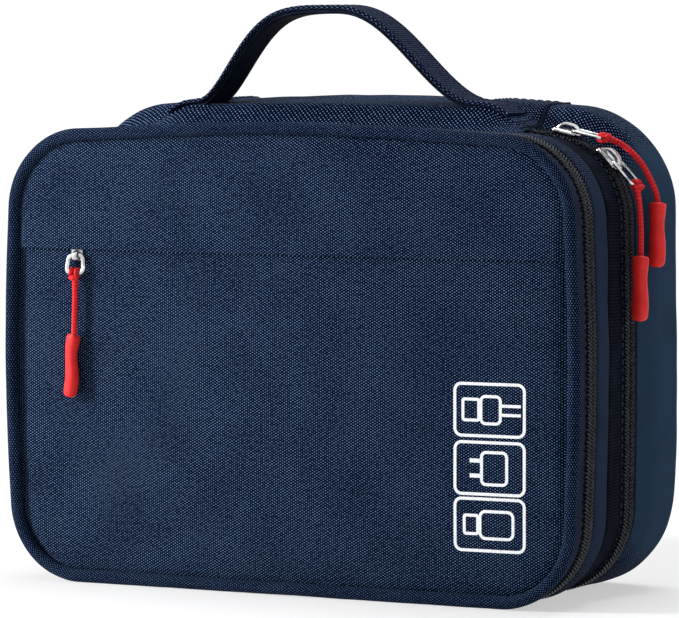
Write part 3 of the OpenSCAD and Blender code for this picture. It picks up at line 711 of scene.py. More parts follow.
# The coil's lighter patches are painted glints on its teeth, over a near-black plastic.
coil = material("coil_plastic", "zip_black", MOTTLE_AND_REFLECTIONS, [(0.0003, 0.0005, 0.001), (0.06, 0.067, 0.086)], 0.3, 0.1,
                gloss=0.04, Patch=900.0)
thread = material("navy_thread", "zip_black", MOTTLE_AND_REFLECTIONS, [(0.012, 0.018, 0.04), (0.06, 0.075, 0.13)], 0.7, 0.2)
dark_thread = material("black_thread", "zip_black", MOTTLE_AND_REFLECTIONS, [(0.006, 0.007, 0.012), (0.04, 0.046, 0.066)], 0.6, 0.2)
webbing = material("handle_webbing", "navy_oxford", WEAVE, [
    (0.001, 0.003, 0.014), (0.022, 0.036, 0.08), (0.12, 0.155, 0.24)], 0.8, 0.45, 0.0002, Across=1.2, Along=0.6)
# The metal's darker patches are painted dark reflections.
steel = material("polished_metal", "polished_metal", MOTTLE_AND_REFLECTIONS, [(0.2, 0.2, 0.21), (0.9, 0.9, 0.91)], 0.2, 0.03, 0.00005,
                 gloss=0.5, Patch=260.0, Grain=5000.0, Metallic=1.0)
red_cord = material("red_braid", "red_cord", BRAID, [(0.5, 0.012, 0.015), (0.8, 0.03, 0.036)], 0.6, 0.25, 0.0002, 0.12)
red_rubber = material("red_rubber", "red_rubber", MOTTLE_AND_REFLECTIONS, [(0.68, 0.018, 0.018), (0.8, 0.03, 0.03)], 0.45, 0.1, 0.00008,
                      0.2, Patch=220.0)
ink = material("white_print", "white_print", MOTTLE_AND_REFLECTIONS, [(0.72, 0.73, 0.75), (0.9, 0.9, 0.91)], 0.6, 0.25, 0.00005, 0.25,
               Patch=900.0, Grain=3000.0)
lining = material("lining_cloth", "lining", WEAVE, GREY, 0.7, 0.2, Across=0.6, Along=0.4)
lining_solid = material("lining_pads", "padded_panel", WEAVE, GREY, 0.7, 0.2, source="Object", Across=0.6, Along=0.4)
elastic = material("elastic_band", "elastic", RIBS, [(0.006, 0.006, 0.008), (0.05, 0.052, 0.058)], 0.7, 0.5, 0.00025,
                   Spacing=1.6)
net_cloth = material("net_cloth", "mesh", NET, [], 0.6, 0.3, mask="Alpha", Base_Color=(0.02, 0.021, 0.025, 1))


# ---- stage ----

def seen_directly(g):
    """One where the camera, a reflection or clear glass looks straight at a surface."""
    ray = g.add("ShaderNodeLightPath").outputs
    return g.math("MAXIMUM", g.math("MAXIMUM", ray["Is Camera Ray"], ray["Is Glossy Ray"]), ray["Is Transmission Ray"])


def make_stage():
    """A pale floor that keeps a faint shadow, a white surround and soft lamps, the main one from the upper left."""
    n, reach, below = 24, 3, 0.0004
    level = grid(*[np.linspace(-reach, reach, n)] * 2).reshape(-1, 2)
    mesh = bpy.data.meshes.new("floor")
    mesh.from_pydata(np.insert(level, 2, -below, axis=1).tolist(), [], squares(n, n)[0].tolist())
    linked("floor", mesh)
    pale, world = bpy.data.materials.new("pale_floor"), bpy.data.worlds.new("surround")
    mesh.materials.append(pale)
    scene.world = world
    g = fresh_graph(pale)
    cloth = g.add("ShaderNodeBsdfDiffuse", {"Color": colour(0.86, 0.86, 0.87)})
    glow = g.add("ShaderNodeEmission", {"Color": WHITE, "Strength": 1.02})
    spot = g.add("ShaderNodeTexCoord").outputs["Object"]
    far = g.add("ShaderNodeVectorMath", {0: spot}, operation="LENGTH").outputs["Value"]
    share = g.times(seen_directly(g), g.ease(far, 0.13, 0.36, 0.5, 1.0))
    both = g.add("ShaderNodeMixShader", {0: share, 1: cloth.outputs[0], 2: glow.outputs[0]})
    g.add("ShaderNodeOutputMaterial", {"Surface": both.outputs[0]})
    g = fresh_graph(world)
    strength = g.plus(g.times(seen_directly(g), 0.78), 0.26)
    back = g.add("ShaderNodeBackground", {"Color": WHITE, "Strength": strength})
    g.add("ShaderNodeOutputWorld", {"Surface": back.outputs[0]})
    aim = Vector((0, 0, 0.1))
    for name, spot, size, power in (("key", (-0.94, -0.66, 0.5), 0.16, 20), ("top", (0.1, 0.35, 1.7), 1.1, 20),
                                    ("side", (1.9, -0.3, 0.7), 1.0, 3)):
        lamp = bpy.data.lights.new(name, "AREA")
        lamp.shape, lamp.size, lamp.energy = "DISK", size, power
        turn = (aim - Vector(spot)).to_track_quat("-Z", "Y").to_matrix().to_4x4()
        linked(name, lamp).matrix_world = Matrix.Translation(spot) @ turn


make_stage()
scene.view_settings.view_transform = "Standard"


# ---- pulls ----

CORD_D = 2.4
GRIP_L = 26.0
POCKET_ZIP_Z = 143.4
ROUTES = {
    "pocket": [[-95.5, -0.8, 127], [-95.5, -0.9, 122], [-95.6, -1, 116], [-95.8, -1, 110], [-96, -1, 104],
               [-96.1, -1, 98], [-96.1, -1, 91]],
    "rear_upper": [[117.5, 59.6, 184.9], [121.6, 60.9, 183.2], [126, 62.6, 179.8], [130.3, 64.4, 174.6],
                   [133.6, 65.9, 168], [135.9, 66.8, 161.5], [136.4, 66.9, 154.5], [136.4, 66.9, 147]],
    "rear_lower": [[131.4, 56.4, 165.6], [133, 55.3, 160.6], [134, 54.4, 155], [134.5, 54.1, 149],
                   [134.5, 54.1, 143], [134.5, 54.1, 137], [134.5, 54.1, 131], [134.5, 54.1, 126]],
    "front_upper": [[-130.6, 18.5, 115.7], [-132, 20.4, 111], [-133.4, 23.2, 105.5], [-134, 25.4, 99],
                    [-134, 26, 92.5], [-134, 26, 86], [-134, 26, 79.5], [-134, 26, 73]],
    "front_lower": [[-130.6, 15.5, 85.7], [-132, 14.2, 81], [-133.4, 13.3, 76], [-134, 13.1, 70],
                    [-134, 13.1, 64], [-134, 13.1, 58], [-134, 13.1, 52]]}
GRIP_TOPS = {"pocket": (-96.1, -1, 103), "rear_upper": (136.4, 66.9, 159), "rear_lower": (134.5, 54.1, 138),
             "front_upper": (-134, 26, 85.5), "front_lower": (-134, 13.1, 64)}
GRIP_SWAY = {"pocket": (-2.6, 0, 0), "rear_upper": (0.3, -2.2, 0), "rear_lower": (0.3, -2.2, 0),
             "front_upper": (0.4, 1.5, 0), "front_lower": (0.4, 1.5, 0)}


def corner_axes(angle):
    """Slider's middle and axes at an angle round the top right corner: nose up the zip, across it, and outwards."""
    a = math.radians(angle)
    out = np.array([math.cos(a), 0, math.sin(a)])
    middle = np.array([HALF_W - CORNER_R, REAR_ZIP_D, CASE_H - CORNER_R]) + CORNER_R * out
    return middle, np.array([[-math.sin(a), 0, math.cos(a)], [0, -1, 0], out])


def left_axes(z, nose):
    """Slider's middle and axes on the left side of the front zip."""
    return np.array([-HALF_W, FRONT_ZIP_D, z]), np.array([[0, 0, nose], [0, nose, 0], [-1, 0, 0]], float)


SLIDERS = {"rear_upper": corner_axes(77), "rear_lower": corner_axes(43),
           "front_upper": left_axes(CASE_H - 55, 1), "front_lower": left_axes(CASE_H - 85, -1)}
BLADES = {"rear_upper": (-3.4, 0), "rear_lower": (-3.4, 0), "front_upper": (-4, 4), "front_lower": (-4, 4)}
TILT = math.radians(10)

# Each ring's pivot, the way it hangs, the way its bars lie, and its length
PIVOTS = {"pocket": (np.array([-96, 0.9, 135.7]), np.array([0, -math.sin(TILT), -math.cos(TILT)]),
                     np.array([1.0, 0, 0]), 7.2)}
for pull, (spot, axes) in SLIDERS.items():
    hang = -axes[0] if pull.startswith("rear") else np.array([0, 0, -1.0])
    PIVOTS[pull] = (spot + 2.5 * hang + 2.45 * axes[2], hang, np.array([0, 1.0, 0]), 12.5)


def make_grip(pull):
    """Moulded grip: flat at the top, gently waisted below it, and swaying in a shallow S along its length."""
    t = np.concatenate([np.linspace(0, 0.3, 16), np.linspace(0.33, 0.9, 20), np.linspace(0.915, 1, 9)])
    sway = np.array(GRIP_SWAY[pull]) * (smooth(t) + 0.35 * np.sin(2 * math.pi * t))[:, None]
    path = np.array(GRIP_TOPS[pull]) + np.stack([0 * t, 0 * t, -GRIP_L * t], -1) + sway
    radius = np.interp(t, [0, 0.006, 0.02, 0.05, 0.16, 0.3, 0.42, 0.6, 0.78, 0.92, 0.965, 0.988, 1],
                       [0.6, 0.8, 0.95, 1.0, 0.97, 0.86, 0.86, 0.96, 1.02, 0.98, 0.84, 0.62, 0.2])
    hidden = pull.startswith("front")
    return tube(pull + "_handgrip", path, radius * (3.35 if pull.startswith("rear") else 2.85),
                up=(1, 0, 0) if hidden else (0.3, 1, 0), sides=18, flat=0.7 if hidden else 0.9, power=2.5)


def make_cord(pull):
    """Braided cord along its route, its radius rising and falling slightly with the strands."""
    path = spline(ROUTES[pull], 90)
    far = np.linspace(0, 1, 90)[:, None] * 40
    around = angles(14)[None]
    bumps = 1 + 0.05 * np.sin(far * 2.2 + 2 * around) * np.sin(far * 2.2 - 2 * around)
    return path, tube(pull + "_braid", path, CORD_D / 2, up=(0.2, 1, 0.1), sides=14, bumps=bumps)


def make_knot(pull):
    """Lark's head: two turns of cord round the ring's end bar, the bight across them and the neck into the cord."""
    pivot, down, bar, length = PIVOTS[pull]
    out = np.cross(down, bar)
    away = np.array([0, -1.0, 0]) if pull == "pocket" else pivot - [0, pivot[1], CASE_H / 2]
    out = out * (-1 if (out * away).sum() < 0 else 1)
    end = pivot + down * length
    forms = []
    a = angles(20)[:, None]
    for side in (-1.25, 1.25):
        loop = end + side * bar * (1 + 0.1 * np.cos(a)) + 1.35 * (np.cos(a) * down + np.sin(a) * out)
        forms.append(tube("turn", loop, 0.85, up=bar, sides=10, close=True))
    t = np.linspace(-1, 1, 14)[:, None]
    bight = end + 2.0 * t * bar + down * (2.0 + 0.5 * (1 - t ** 2)) + out * (0.2 + 1.15 * (1 - t ** 2))
    forms.append(tube("bight", bight, 0.95 * np.sqrt(1.02 - t[:, 0] ** 8), up=out, sides=10))
    start = np.array(ROUTES[pull][0], float)
    neck = spline([end + down * 1.2, end + down * 2.2, start, np.array(ROUTES[pull][1], float)], 16)
    forms.append(tube("neck", neck, np.linspace(1.75, 1.25, 16), up=bar, sides=12))
    return joined(pull + "_larks_head", forms)


def soft_loop(corners, radius, steps=7):
    """A closed line through corners, each cut off by a curve that starts a radius before it."""
    corners = np.asarray(corners, float)
    before, after = np.roll(corners, 1, 0), np.roll(corners, -1, 0)
    a = corners + radius * (before - corners) / np.linalg.norm(before - corners, axis=1, keepdims=True)
    b = corners + radius * (after - corners) / np.linalg.norm(after - corners, axis=1, keepdims=True)
    t = np.linspace(0, 1, steps)[None, :, None]
    return ((1 - t) ** 2 * a[:, None] + 2 * t * (1 - t) * corners[:, None] + t ** 2 * b[:, None]).reshape(-1, 3)


def make_ring(pull):
    """Wire ring from its pivot bar to its end bar; the pocket's is flat and widens downwards."""
    pivot, down, bar, length = PIVOTS[pull]
    top, low = (3.3, 4.1) if pull == "pocket" else (3.9, 4.05)
    end = pivot + length * down
    path = soft_loop([pivot - top * bar, pivot + top * bar, end + low * bar, end - low * bar], 2.2)
    flat, radius = (0.6, 0.95) if pull == "pocket" else (1.0, 0.66)
    return tube(pull + "_wire_ring", path, radius, up=np.cross(down, bar), sides=12, close=True, flat=flat, power=2.6)


def seat(local, spot, axes):
    """Points in a slider's own axes become points of the case."""
    return spot + np.asarray(local, float) @ axes


def slab_form(name, spot, axes, middle, sizes, taper=0.0, crown=0.0, squareness=4.5):
    """A squared-off bead, narrower towards its tail and crowned on top, in a slider's axes."""
    points, faces = pod(14, 24, squareness, squareness)
    form = points.copy()
    form[:, 1] *= 1 - taper * smooth(0.5 - points[:, 0] * 0.6)
    form[:, 2] += crown * bell(points[:, 0], 1, 1) * bell(points[:, 1], 1, 1) * (points[:, 2] > 0)
    return to_mesh(name, seat(form * sizes + middle, spot, axes), faces)


def make_slider(pull):
    """Cast slider: a crowned plate with side flanges, a raised bridge for the ring and the plate inside the coil."""
    spot, axes = SLIDERS[pull]
    forms = [slab_form("plate", spot, axes, (0, 0, 1.3), (6.2, 4.7, 0.7), 0.22, 0.5)]
    forms += [slab_form("rim", spot, axes, (0.5, side, 0.95), (5.1, 0.45, 0.62)) for side in (4.15, -4.15)]
    t = np.linspace(0, 1, 26)[:, None]
    arch = np.concatenate([-4.9 + 9.8 * t, 0 * t, 1.5 + 2.9 * (1 - np.abs(2 * t - 1) ** 3.5)], 1)
    forms.append(tube("bridge", seat(arch, spot, axes), 1.6 - 0.35 * np.abs(2 * t[:, 0] - 1), up=axes[2], sides=12,
                      flat=0.36, power=3.0))
    low, high = BLADES[pull]
    forms.append(slab_form("inner_plate", spot, axes, (0, (low + high) / 2, -3.1), (4.8, (high - low) / 2, 0.5), 0.1))
    return crease(joined(pull + "_zip_slider", forms))


def make_pocket_slider():
    """The pocket's slider behind its flap, and the tongue with a bridge that shows below the flap's edge."""
    spot = np.array([-96, 4.8, POCKET_ZIP_Z])
    axes = np.array([[1.0, 0, 0], [0, 0, 1.0], [0, -1.0, 0]])
    forms = [slab_form("plate", spot, axes, (0, 0, 1.05), (4.9, 3.9, 0.55), 0.15),
             slab_form("inner_plate", spot, axes, (0, 0, -3.1), (4.8, 3.8, 0.5), 0.1),
             slab_form("tongue", spot, axes, (0, -7.3, 2.95), (2.7, 2.6, 0.4), 0.0, 0.1),
             slab_form("root", spot, axes, (0, -3.0, 1.9), (2.6, 1.6, 0.9))]
    t = np.linspace(0, 1, 22)[:, None]
    arch = np.concatenate([0 * t, -5.9 - 4.2 * t, 3.2 + 2.1 * (1 - np.abs(2 * t - 1) ** 3.5)], 1)
    forms.append(tube("bridge", seat(arch, spot, axes), 1.15, up=(0, -1, 0.01), sides=12, flat=0.35, power=3.0))
    return crease(joined("pocket_zip_slider", forms))


for pull in ROUTES:
    ride = pull + "_pull"
    grip = finish_piece(make_grip(pull), red_rubber, ride, hides=[pull + "_grip"])
    path, braid = make_cord(pull)
    finish_piece(braid, red_cord, ride, hides=[pull + "_cord"])
    line = place(path)
    float(far_along(line)[-1])
    finish_piece(make_knot(pull), red_cord, ride, hides=[pull + "_knot"])
    finish_piece(crease(make_ring(pull), 60), steel, pull + "_ring_body", hides=[pull + "_ring"])
    made = make_pocket_slider() if pull == "pocket" else make_slider(pull)
    finish_piece(made, steel, pull + "_slider_body", hides=[pull + "_slider"])


# ---- front cover ----

FLAP_Z = 138.0
FRONT_R = 31.4


def edge_gap(x, z):
    """How far inside the case's outline a point lies: the distance to a rectangle with round corners."""
    qx = np.abs(x) - (HALF_W - FRONT_R)
    qz = np.abs(z - CASE_H / 2) - (CASE_H / 2 - FRONT_R)
    return FRONT_R - np.hypot(np.maximum(qx, 0), np.maximum(qz, 0)) - np.minimum(np.maximum(qx, qz), 0)


def panel_depth(x, z):
    """Depth of the lower front panel: crowned by what the case holds, and sinking towards the piping's seam."""
    crown = 2.9 * bell(x, 114, 1) * (1 - np.abs((z - 88) / 99) ** 4)
    sunk = 1.7 * np.exp(-np.clip(edge_gap(x, z) - 4.2, 0, None) / 2.0)
    return 3.3 - crown + sunk + 0.16 * ripple(x, z, 5, 90, 18)


def flap_depth(x, z):
    """Depth of the upper panel, which laps over the lower one's top edge."""
    lap = 1.75 - 0.5 * smooth((z - FLAP_Z) / 40)
    return panel_depth(x, np.maximum(z, FLAP_Z)) - lap + 0.1 * ripple(x, z, 8, 70, 20)


def row_ends(z, inset, corner=FRONT_R, swell=2.6):
    """Left and right ends of a level row inside the outline, drawn in by an inset."""
    r = corner - inset
    low, high = corner, CASE_H - corner
    over = np.clip(np.maximum(low - z, z - high), 0, r)
    half = HALF_W - corner + np.sqrt(np.clip(r * r - over * over, 0, None))
    return half + swell * bell((z - CASE_H / 2) / (CASE_H / 2), 1.0, 1)


def front_panel(name, rows, lifts, depth_of, inset=3.4, columns=150, crown=4.4, corner=FRONT_R, swell=2.6):
    """Level rows between the outline's sides, laid at the depth that a function gives and lifted off it; towards the
    top they rise in the middle with the case's own crown."""
    t = np.linspace(-1, 1, columns)
    t = np.sign(t) * (1 - (1 - np.abs(t)) ** 1.15)
    x = row_ends(rows, inset, corner, swell)[:, None] * t[None]
    z = rows[:, None] + crown * bell(x, HALF_W) * smooth((rows[:, None] - CASE_H + FRONT_R) / FRONT_R)
    points = np.stack([x, depth_of(x, z) + lifts[:, None], z], -1)
    return skin(name, points, np.stack([x, z], -1), guide=(0, 60, 90))


rows = np.concatenate([[3.5, 4.5, 5.5, 7], np.linspace(9, FLAP_Z + 2, 74)])
lower = front_panel("front_lower_panel", rows, 0 * rows, panel_depth)
finish_piece(thicken(lower, 0.9), oxford, "cover", hides=["pocket_panel"])
rows = np.concatenate([[FLAP_Z + 3, FLAP_Z + 0.9, FLAP_Z + 0.2, FLAP_Z, FLAP_Z + 0.25, FLAP_Z + 0.9],
                       np.linspace(FLAP_Z + 2, CASE_H - 5.5, 30), [CASE_H - 4.4, CASE_H - 3.6]])
lifts = np.concatenate([[1.5, 1.45, 1.1, 0.6, 0.15, 0.02], np.zeros(32)])
upper = front_panel("front_upper_panel", rows, lifts, flap_depth)
finish_piece(thicken(upper, 0.5), oxford, "cover", hides=["flap_panel"])

for name, ends, form, finish, hides in (
        ("front_piping", (0, ROUND), (round_bar(2.75, 2.35, 2.6, 18), 1.8, 0.12, 3), oxford_piping, ["cover_piping"]),
        # A dark cord laid in the groove behind the piping: painted shade for that groove.
        ("piping_groove_shade_cord", (0, ROUND), (round_bar(5.1, 1.7, 0.9, 8), 2.5), binding, ()),
        ("front_gusset", FRONT_ZIP, (hump(4.9, 12.2, 2.3, 1.0, 5), 2.0, 0.25, 11), gusset_cloth, ["cover_gusset"])):
    finish_piece(strip(name, *ends, *form), finish, "cover", hides=hides)


def draped_print():
    """The printed frames laid on the crowned panel: each point keeps its place and takes the panel's depth."""
    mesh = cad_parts["print_marks"].data.copy()
    mesh.name = "device_marks"
    merge_points(mesh, 1e-6)
    co = np.empty(len(mesh.vertices) * 3, np.float32)
    mesh.vertices.foreach_get("co", co)
    co = co.reshape(-1, 3).astype(float)
    lift = (co[:, 1] - co[:, 1].min()) / (np.ptp(co[:, 1]) + 1e-9)
    co[:, 1] = FRONT_Y + (panel_depth(co[:, 0] / MM, co[:, 2] / MM) - 0.16 + 0.22 * lift) * MM
    mesh.vertices.foreach_set("co", co.astype(np.float32).ravel())
    mesh.update()
    return linked("device_marks", mesh)


finish_piece(draped_print(), ink, "cover", hides=["print_marks"])


# ---- zips, band and valley ----

def slope(d0, i0, d1, i1, thick=0.8):
    """Profile of a tape that runs from one inset to another, with rounded edges."""
    t = np.linspace(0, 1, 9)
    top = np.stack([d0 + (d1 - d0) * t, i0 + (i1 - i0) * t], -1)
    return np.concatenate([[[d0 - 0.2, i0 + thick * 0.6]], top, [[d1 + 0.2, i1 + thick * 0.6]],
                           (top + [0, thick])[::-1]])


def zip_side(name, ends, centre, side, tape, body, reach=2.5):
    """Half of a zip: its tape, its coil of slanting teeth and the two rows of stitches that hold it."""
    finish_piece(strip(name + "_tape", *ends, tape, 2.2), zip_tape, body, hides=[name + "_half"])
    row = teeth(name + "_teeth", *ends, centre + side * (0.88 * reach), 1.0, side * math.radians(27),
                COIL_PITCH / 2 if side > 0 else 0, reach)
    finish_piece(row, coil, body)
    core = round_bar(centre + side * 2.1, 1.5, 0.95, 8)
    finish_piece(strip(name + "_coil_core", *ends, core, 3.0), zip_tape, body)
    for k, far in enumerate((2 * reach, 2 * reach + 0.8)):
        line = rim_stitches(f"{name}_stitches_{k}", *ends, centre + side * far, 1.35)
        finish_piece(line, dark_thread if k else thread, body)


zip_side("front_zip_cover", FRONT_ZIP, FRONT_ZIP_D, -1, slope(10.6, 1.9, 16.5, 1.6), "cover")
zip_side("front_zip_leaf", FRONT_ZIP, FRONT_ZIP_D, 1, slope(17.5, 1.6, 23.5, 1.9), "leaf")
zip_side("rear_zip_leaf", REAR_ZIP, REAR_ZIP_D, -1, slope(40.6, 2.4, 57.5, 1.5), "leaf", 2.85)
zip_side("rear_zip_shell", REAR_ZIP, REAR_ZIP_D, 1, slope(58.5, 1.5, 65.0, 2.0), "shell", 2.85)


def back_at(depth):
    """A point on the top's middle at a depth, in the frame's metres."""
    return 0, FRONT_Y + depth * MM, (CASE_H + 0.4) * MM


over_top = (FRONT_ZIP[1] - ROUND, FRONT_ZIP[0])
for name, ends, form, finish, rides in (
        ("leaf_band", (0, ROUND), (hump(22.6, 34.9, 1.7, 1.6, 5), 2.0, 0.3, 21), oxford_band,
         dict(body="leaf", hides=["middle_band"])),
        ("leaf_band_top", (over_top[0] - 1, over_top[1] + 1), (hump(10.8, 25.5, 1.4, 1.0, 7), 2.0, 0.2, 22),
         oxford_band, dict(body="leaf")),
        ("cover_hinge_cloth", over_top, (hump(3.8, 11.2, 1.5, 0.9, 5), 2.5), oxford_piping,
         dict(blend=("leaf", "cover", back_at(10), back_at(4)), slot="navy_oxford")),
        ("leaf_valley", (0, ROUND), (hump(34.4, 41.6, 3.9, 0.9, 3), 2.5), binding,
         dict(body="leaf", hides=["leaf_binding"])),
        ("leaf_hinge_cloth", (TOP_RIGHT + 8, TOP_LEFT - 8), (hump(36.4, 43.5, 3.0, 1.3, 3), 2.5), binding,
         dict(blend=("shell", "leaf", back_at(42), back_at(37))))):
    finish_piece(strip(name, *ends, *form), finish, **rides)


# ---- rear shell ----

def end_panel(name, depth, inset, bulge, seed):
    """The flat end of the shell: the outline shrinks in steps to its middle while it bulges slightly outwards."""
    s = np.linspace(0, ROUND, 330, endpoint=False)
    edge = rim(s, depth, inset)
    centre = np.array([0, depth, edge[:, 2].mean()])
    t = np.linspace(1, 0, 40)[:, None, None]
    points = centre + t * (edge - centre)
    uneven = 0.35 * ripple(points[..., 0], points[..., 2], seed, 90, 22) * (1 - t[..., 0] ** 6)
    points[..., 1] = depth + bulge * (1 - t[..., 0] ** 2) + uneven
    flat = np.concatenate([points, points[:, :1]], 1)
    piece = skin(name, points, flat[..., [0, 2]], close_v=True, guide=(0, depth - 60, CASE_H / 2))
    merge_points(piece.data, 2e-6)
    piece.data.shade_smooth()
    return piece


turn = np.linspace(0, math.pi / 2, 12)
side_line = np.concatenate([[[62.4, 3.4], [62.3, 2.0], [62.9, 1.1], [64, 0.6]],
                            np.stack([np.linspace(66, BACK_D - 9, 13), np.full(13, 0.2)], -1),
                            np.stack([BACK_D - 9 + 9 * np.sin(turn[1:]), 0.2 + 9 * (1 - np.cos(turn[1:]))], -1),
                            [[BACK_D + 0.1, 14]]])
shell = rim_sheet("shell_sides", 0, ROUND, side_line, 1.6, 0.45, 31)
finish_piece(thicken(shell, 1.1), oxford_side, "shell", hides=["rear_shell", "shell_padding"])
back = end_panel("shell_back", BACK_D + 0.1, 12.8, 1.5, 33)
finish_piece(thicken(back, 1.1), oxford, "shell")
for name, ends, bar in (("shell_back_seam", (0, ROUND), (BACK_D + 0.2, 13, 0.9, 8)),
                        ("shell_edge_cord", REAR_ZIP, (63.7, 1.2, 0.85, 8))):
    finish_piece(strip(name, *ends, round_bar(*bar), 2.5), binding, "shell")
cap_line = np.stack([np.concatenate([[41.4, 41.2, 41.6], np.linspace(42.5, 66, 20)]),
                     np.concatenate([[2.6, 1.4, 0.5], np.linspace(0.1, -0.1, 20)])], -1)
cap = rim_sheet("shell_top_cap", TOP_RIGHT + 6.5, TOP_LEFT - 6.5, cap_line, 1.6, 0.25, 35)
finish_piece(thicken(cap, 1.0), oxford, "shell")


# ---- handle and its patches ----

HANDLE_D = 57.0
FOOT_X = 64.7


def top_of(x, depth):
    """Height of the shell's top over a place on it."""
    return rim(TOP_RIGHT + (HALF_W - CORNER_R - x), depth, 0)[..., 2]


def arch(x):
    """Height of the handle's line: half a cosine wave on each side, fuller on the left where it leans."""
    fall = np.where(x < 0, 2.1, 1.12)
    return 199.4 + 39 * (1 + np.cos(math.pi * np.abs(x / FOOT_X) ** fall)) / 2


def handle_path(lower):
    """The arch from foot to foot with its feet laid outwards on the patches, moved down by the layers over it."""
    x = np.linspace(-FOOT_X, FOOT_X, 121)
    line = np.stack([x, 0 * x + HANDLE_D, arch(x)], -1)
    toes = np.array([[-79, HANDLE_D, top_of(-79.0, HANDLE_D) + 2.2], [-72, HANDLE_D, top_of(-72.0, HANDLE_D) + 2.3]])
    line = np.concatenate([toes, line[1:-1], (toes * [-1, 1, 1])[::-1]])
    line = even(spline(line, 400), 1.6)
    up = path_axes(line, (0, 0, 1.0))[2]
    return line - lower * up, up


def strap(name, lower, half, thick, edge):
    """Woven strap along the arch, with thicker rolled edges: a flat middle and two beads."""
    path, up = handle_path(lower)
    v = np.concatenate([np.linspace(-1, 1, 26), np.linspace(1, -1, 12)])
    t = thick / 2 * np.clip(1 - np.abs(v) ** 14, 0, 1) ** 0.5 + edge * np.exp(-((np.abs(v) - 0.88) / 0.07) ** 2)
    t[26:] *= -1
    points = path[:, None] + half * v[None, :, None] * np.array([0, 1.0, 0]) + t[None, :, None] * up[:, None]
    ring = np.concatenate([half * v, half * v[:1] - 0.01])
    return skin(name, points, grid(far_along(path), ring), close_v=True, caps=True)


leaning = ("shell", "handle", *[(0, FRONT_Y + HANDLE_D * MM, z * MM) for z in (200, 208)])
for name, shape, finish, hides in (
        ("handle_strap", (0.9, 10, 1.9, 0.35), webbing, ["handle_outer_strap", "handle_ends"]),
        ("handle_lining", (2.7, 8.8, 1.5, 0.15), binding, ["handle_inner_strap"])):
    finish_piece(strap(name, *shape), finish, blend=leaning, hides=hides)
path, up = handle_path(-0.15)
for k, far in enumerate((-8.0, 8.0)):
    line = stitches(f"handle_stitches_{k}", path + [0, far, 0], up)
    finish_piece(line, thread, blend=leaning, slot="navy_oxford")


def make_patch(name, x0, x1, d0, d1, lift=0.9):
    """A patch draped on the shell's top, its edges turned down into the cloth."""
    flat = grid(x0 + (x1 - x0) * np.linspace(0, 1, 30), d0 + (d1 - d0) * np.linspace(0, 1, 46))
    x, d = flat[..., 0], flat[..., 1]
    border = np.minimum(np.minimum(x - x0, x1 - x), np.minimum(d - d0, d1 - d))
    z = top_of(x, d) + lift * (1 - np.exp(-np.clip(border, 0, None) / 0.5)) - 0.2
    return skin(name, np.stack([x, d, z], -1), flat, guide=(0, 60, 90))


PATCH_X, PATCH_D, HEM = (58.5, 84.5), (47.5, 93), 2
for side, node_name in ((1, "right_patch"), (-1, "left_patch")):
    low, high = sorted(side * x for x in PATCH_X)
    patch = make_patch(node_name + "_cloth", low, high, *PATCH_D)
    finish_piece(thicken(patch, 0.8), oxford, "shell", hides=[node_name])
    x0, x1, d0, d1 = low + HEM, high - HEM, PATCH_D[0] + HEM, PATCH_D[1] - HEM
    ends = [(x0, x1, d0, d0), (x0, x1, d1, d1), (x0, x0, d0, d1), (x1 - 0.6, x1 - 0.6, d0, d1)]
    for k, (xa, xb, da, db) in enumerate(ends):
        x, d = np.linspace(xa, xb, 30), np.linspace(da, db, 30)
        line = stitches(f"{node_name}_stitches_{k}", np.stack([x, d, top_of(x, d) + 0.75], -1), (0, 0, 1.0))
        finish_piece(line, thread, "shell", slot="navy_oxford")
    d = np.linspace(PATCH_D[0] - 1, PATCH_D[1] + 1, 60)
    x = np.full(60, side * (PATCH_X[1] + 0.7))
    bound = tube(node_name + "_bound_edge", np.stack([x, d, top_of(x, d) - 0.1], -1), 0.8, up=(0, 0, 1), sides=10)
    finish_piece(bound, binding, "shell")


# ---- inside ----

def padded_slab(name, low, high, crown=0.22):
    """A padded board: a squared-off bead whose faces are crowned in the middle."""
    low, high = np.array(low, float), np.array(high, float)
    sizes = (high - low) / 2
    thin = int(np.argmin(sizes))
    points, faces = pod(36, 48, 14, 14)
    others = [k for k in range(3) if k != thin]
    rise = 1 + crown * np.prod([bell(points[:, k], 1, 1) for k in others], axis=0)
    points[:, thin] *= rise / (1 + crown)
    return to_mesh(name, points * sizes + (low + high) / 2, faces)


def inner_plate(name, depth, inset, thick, height, body, finish, swell=0.0, slot=None, hides=()):
    """A level-rowed sheet that fills the outline at one depth, up to a height, swelling in the middle."""
    def depth_of(x, z):
        uneven = 0.12 * ripple(x, z, int(depth * 10), 80, 20)
        return depth + swell * bell(x, 118, 1) * bell(z - CASE_H / 2, 90, 1) + uneven

    rows = np.linspace(inset + 0.3, min(height, CASE_H - inset - 0.3), 46)
    piece = front_panel(name, rows, 0 * rows, depth_of, inset, 70, 1.2, 33.5, 1.2)
    finish_piece(thicken(piece, thick), finish, body, slot=slot, hides=hides)


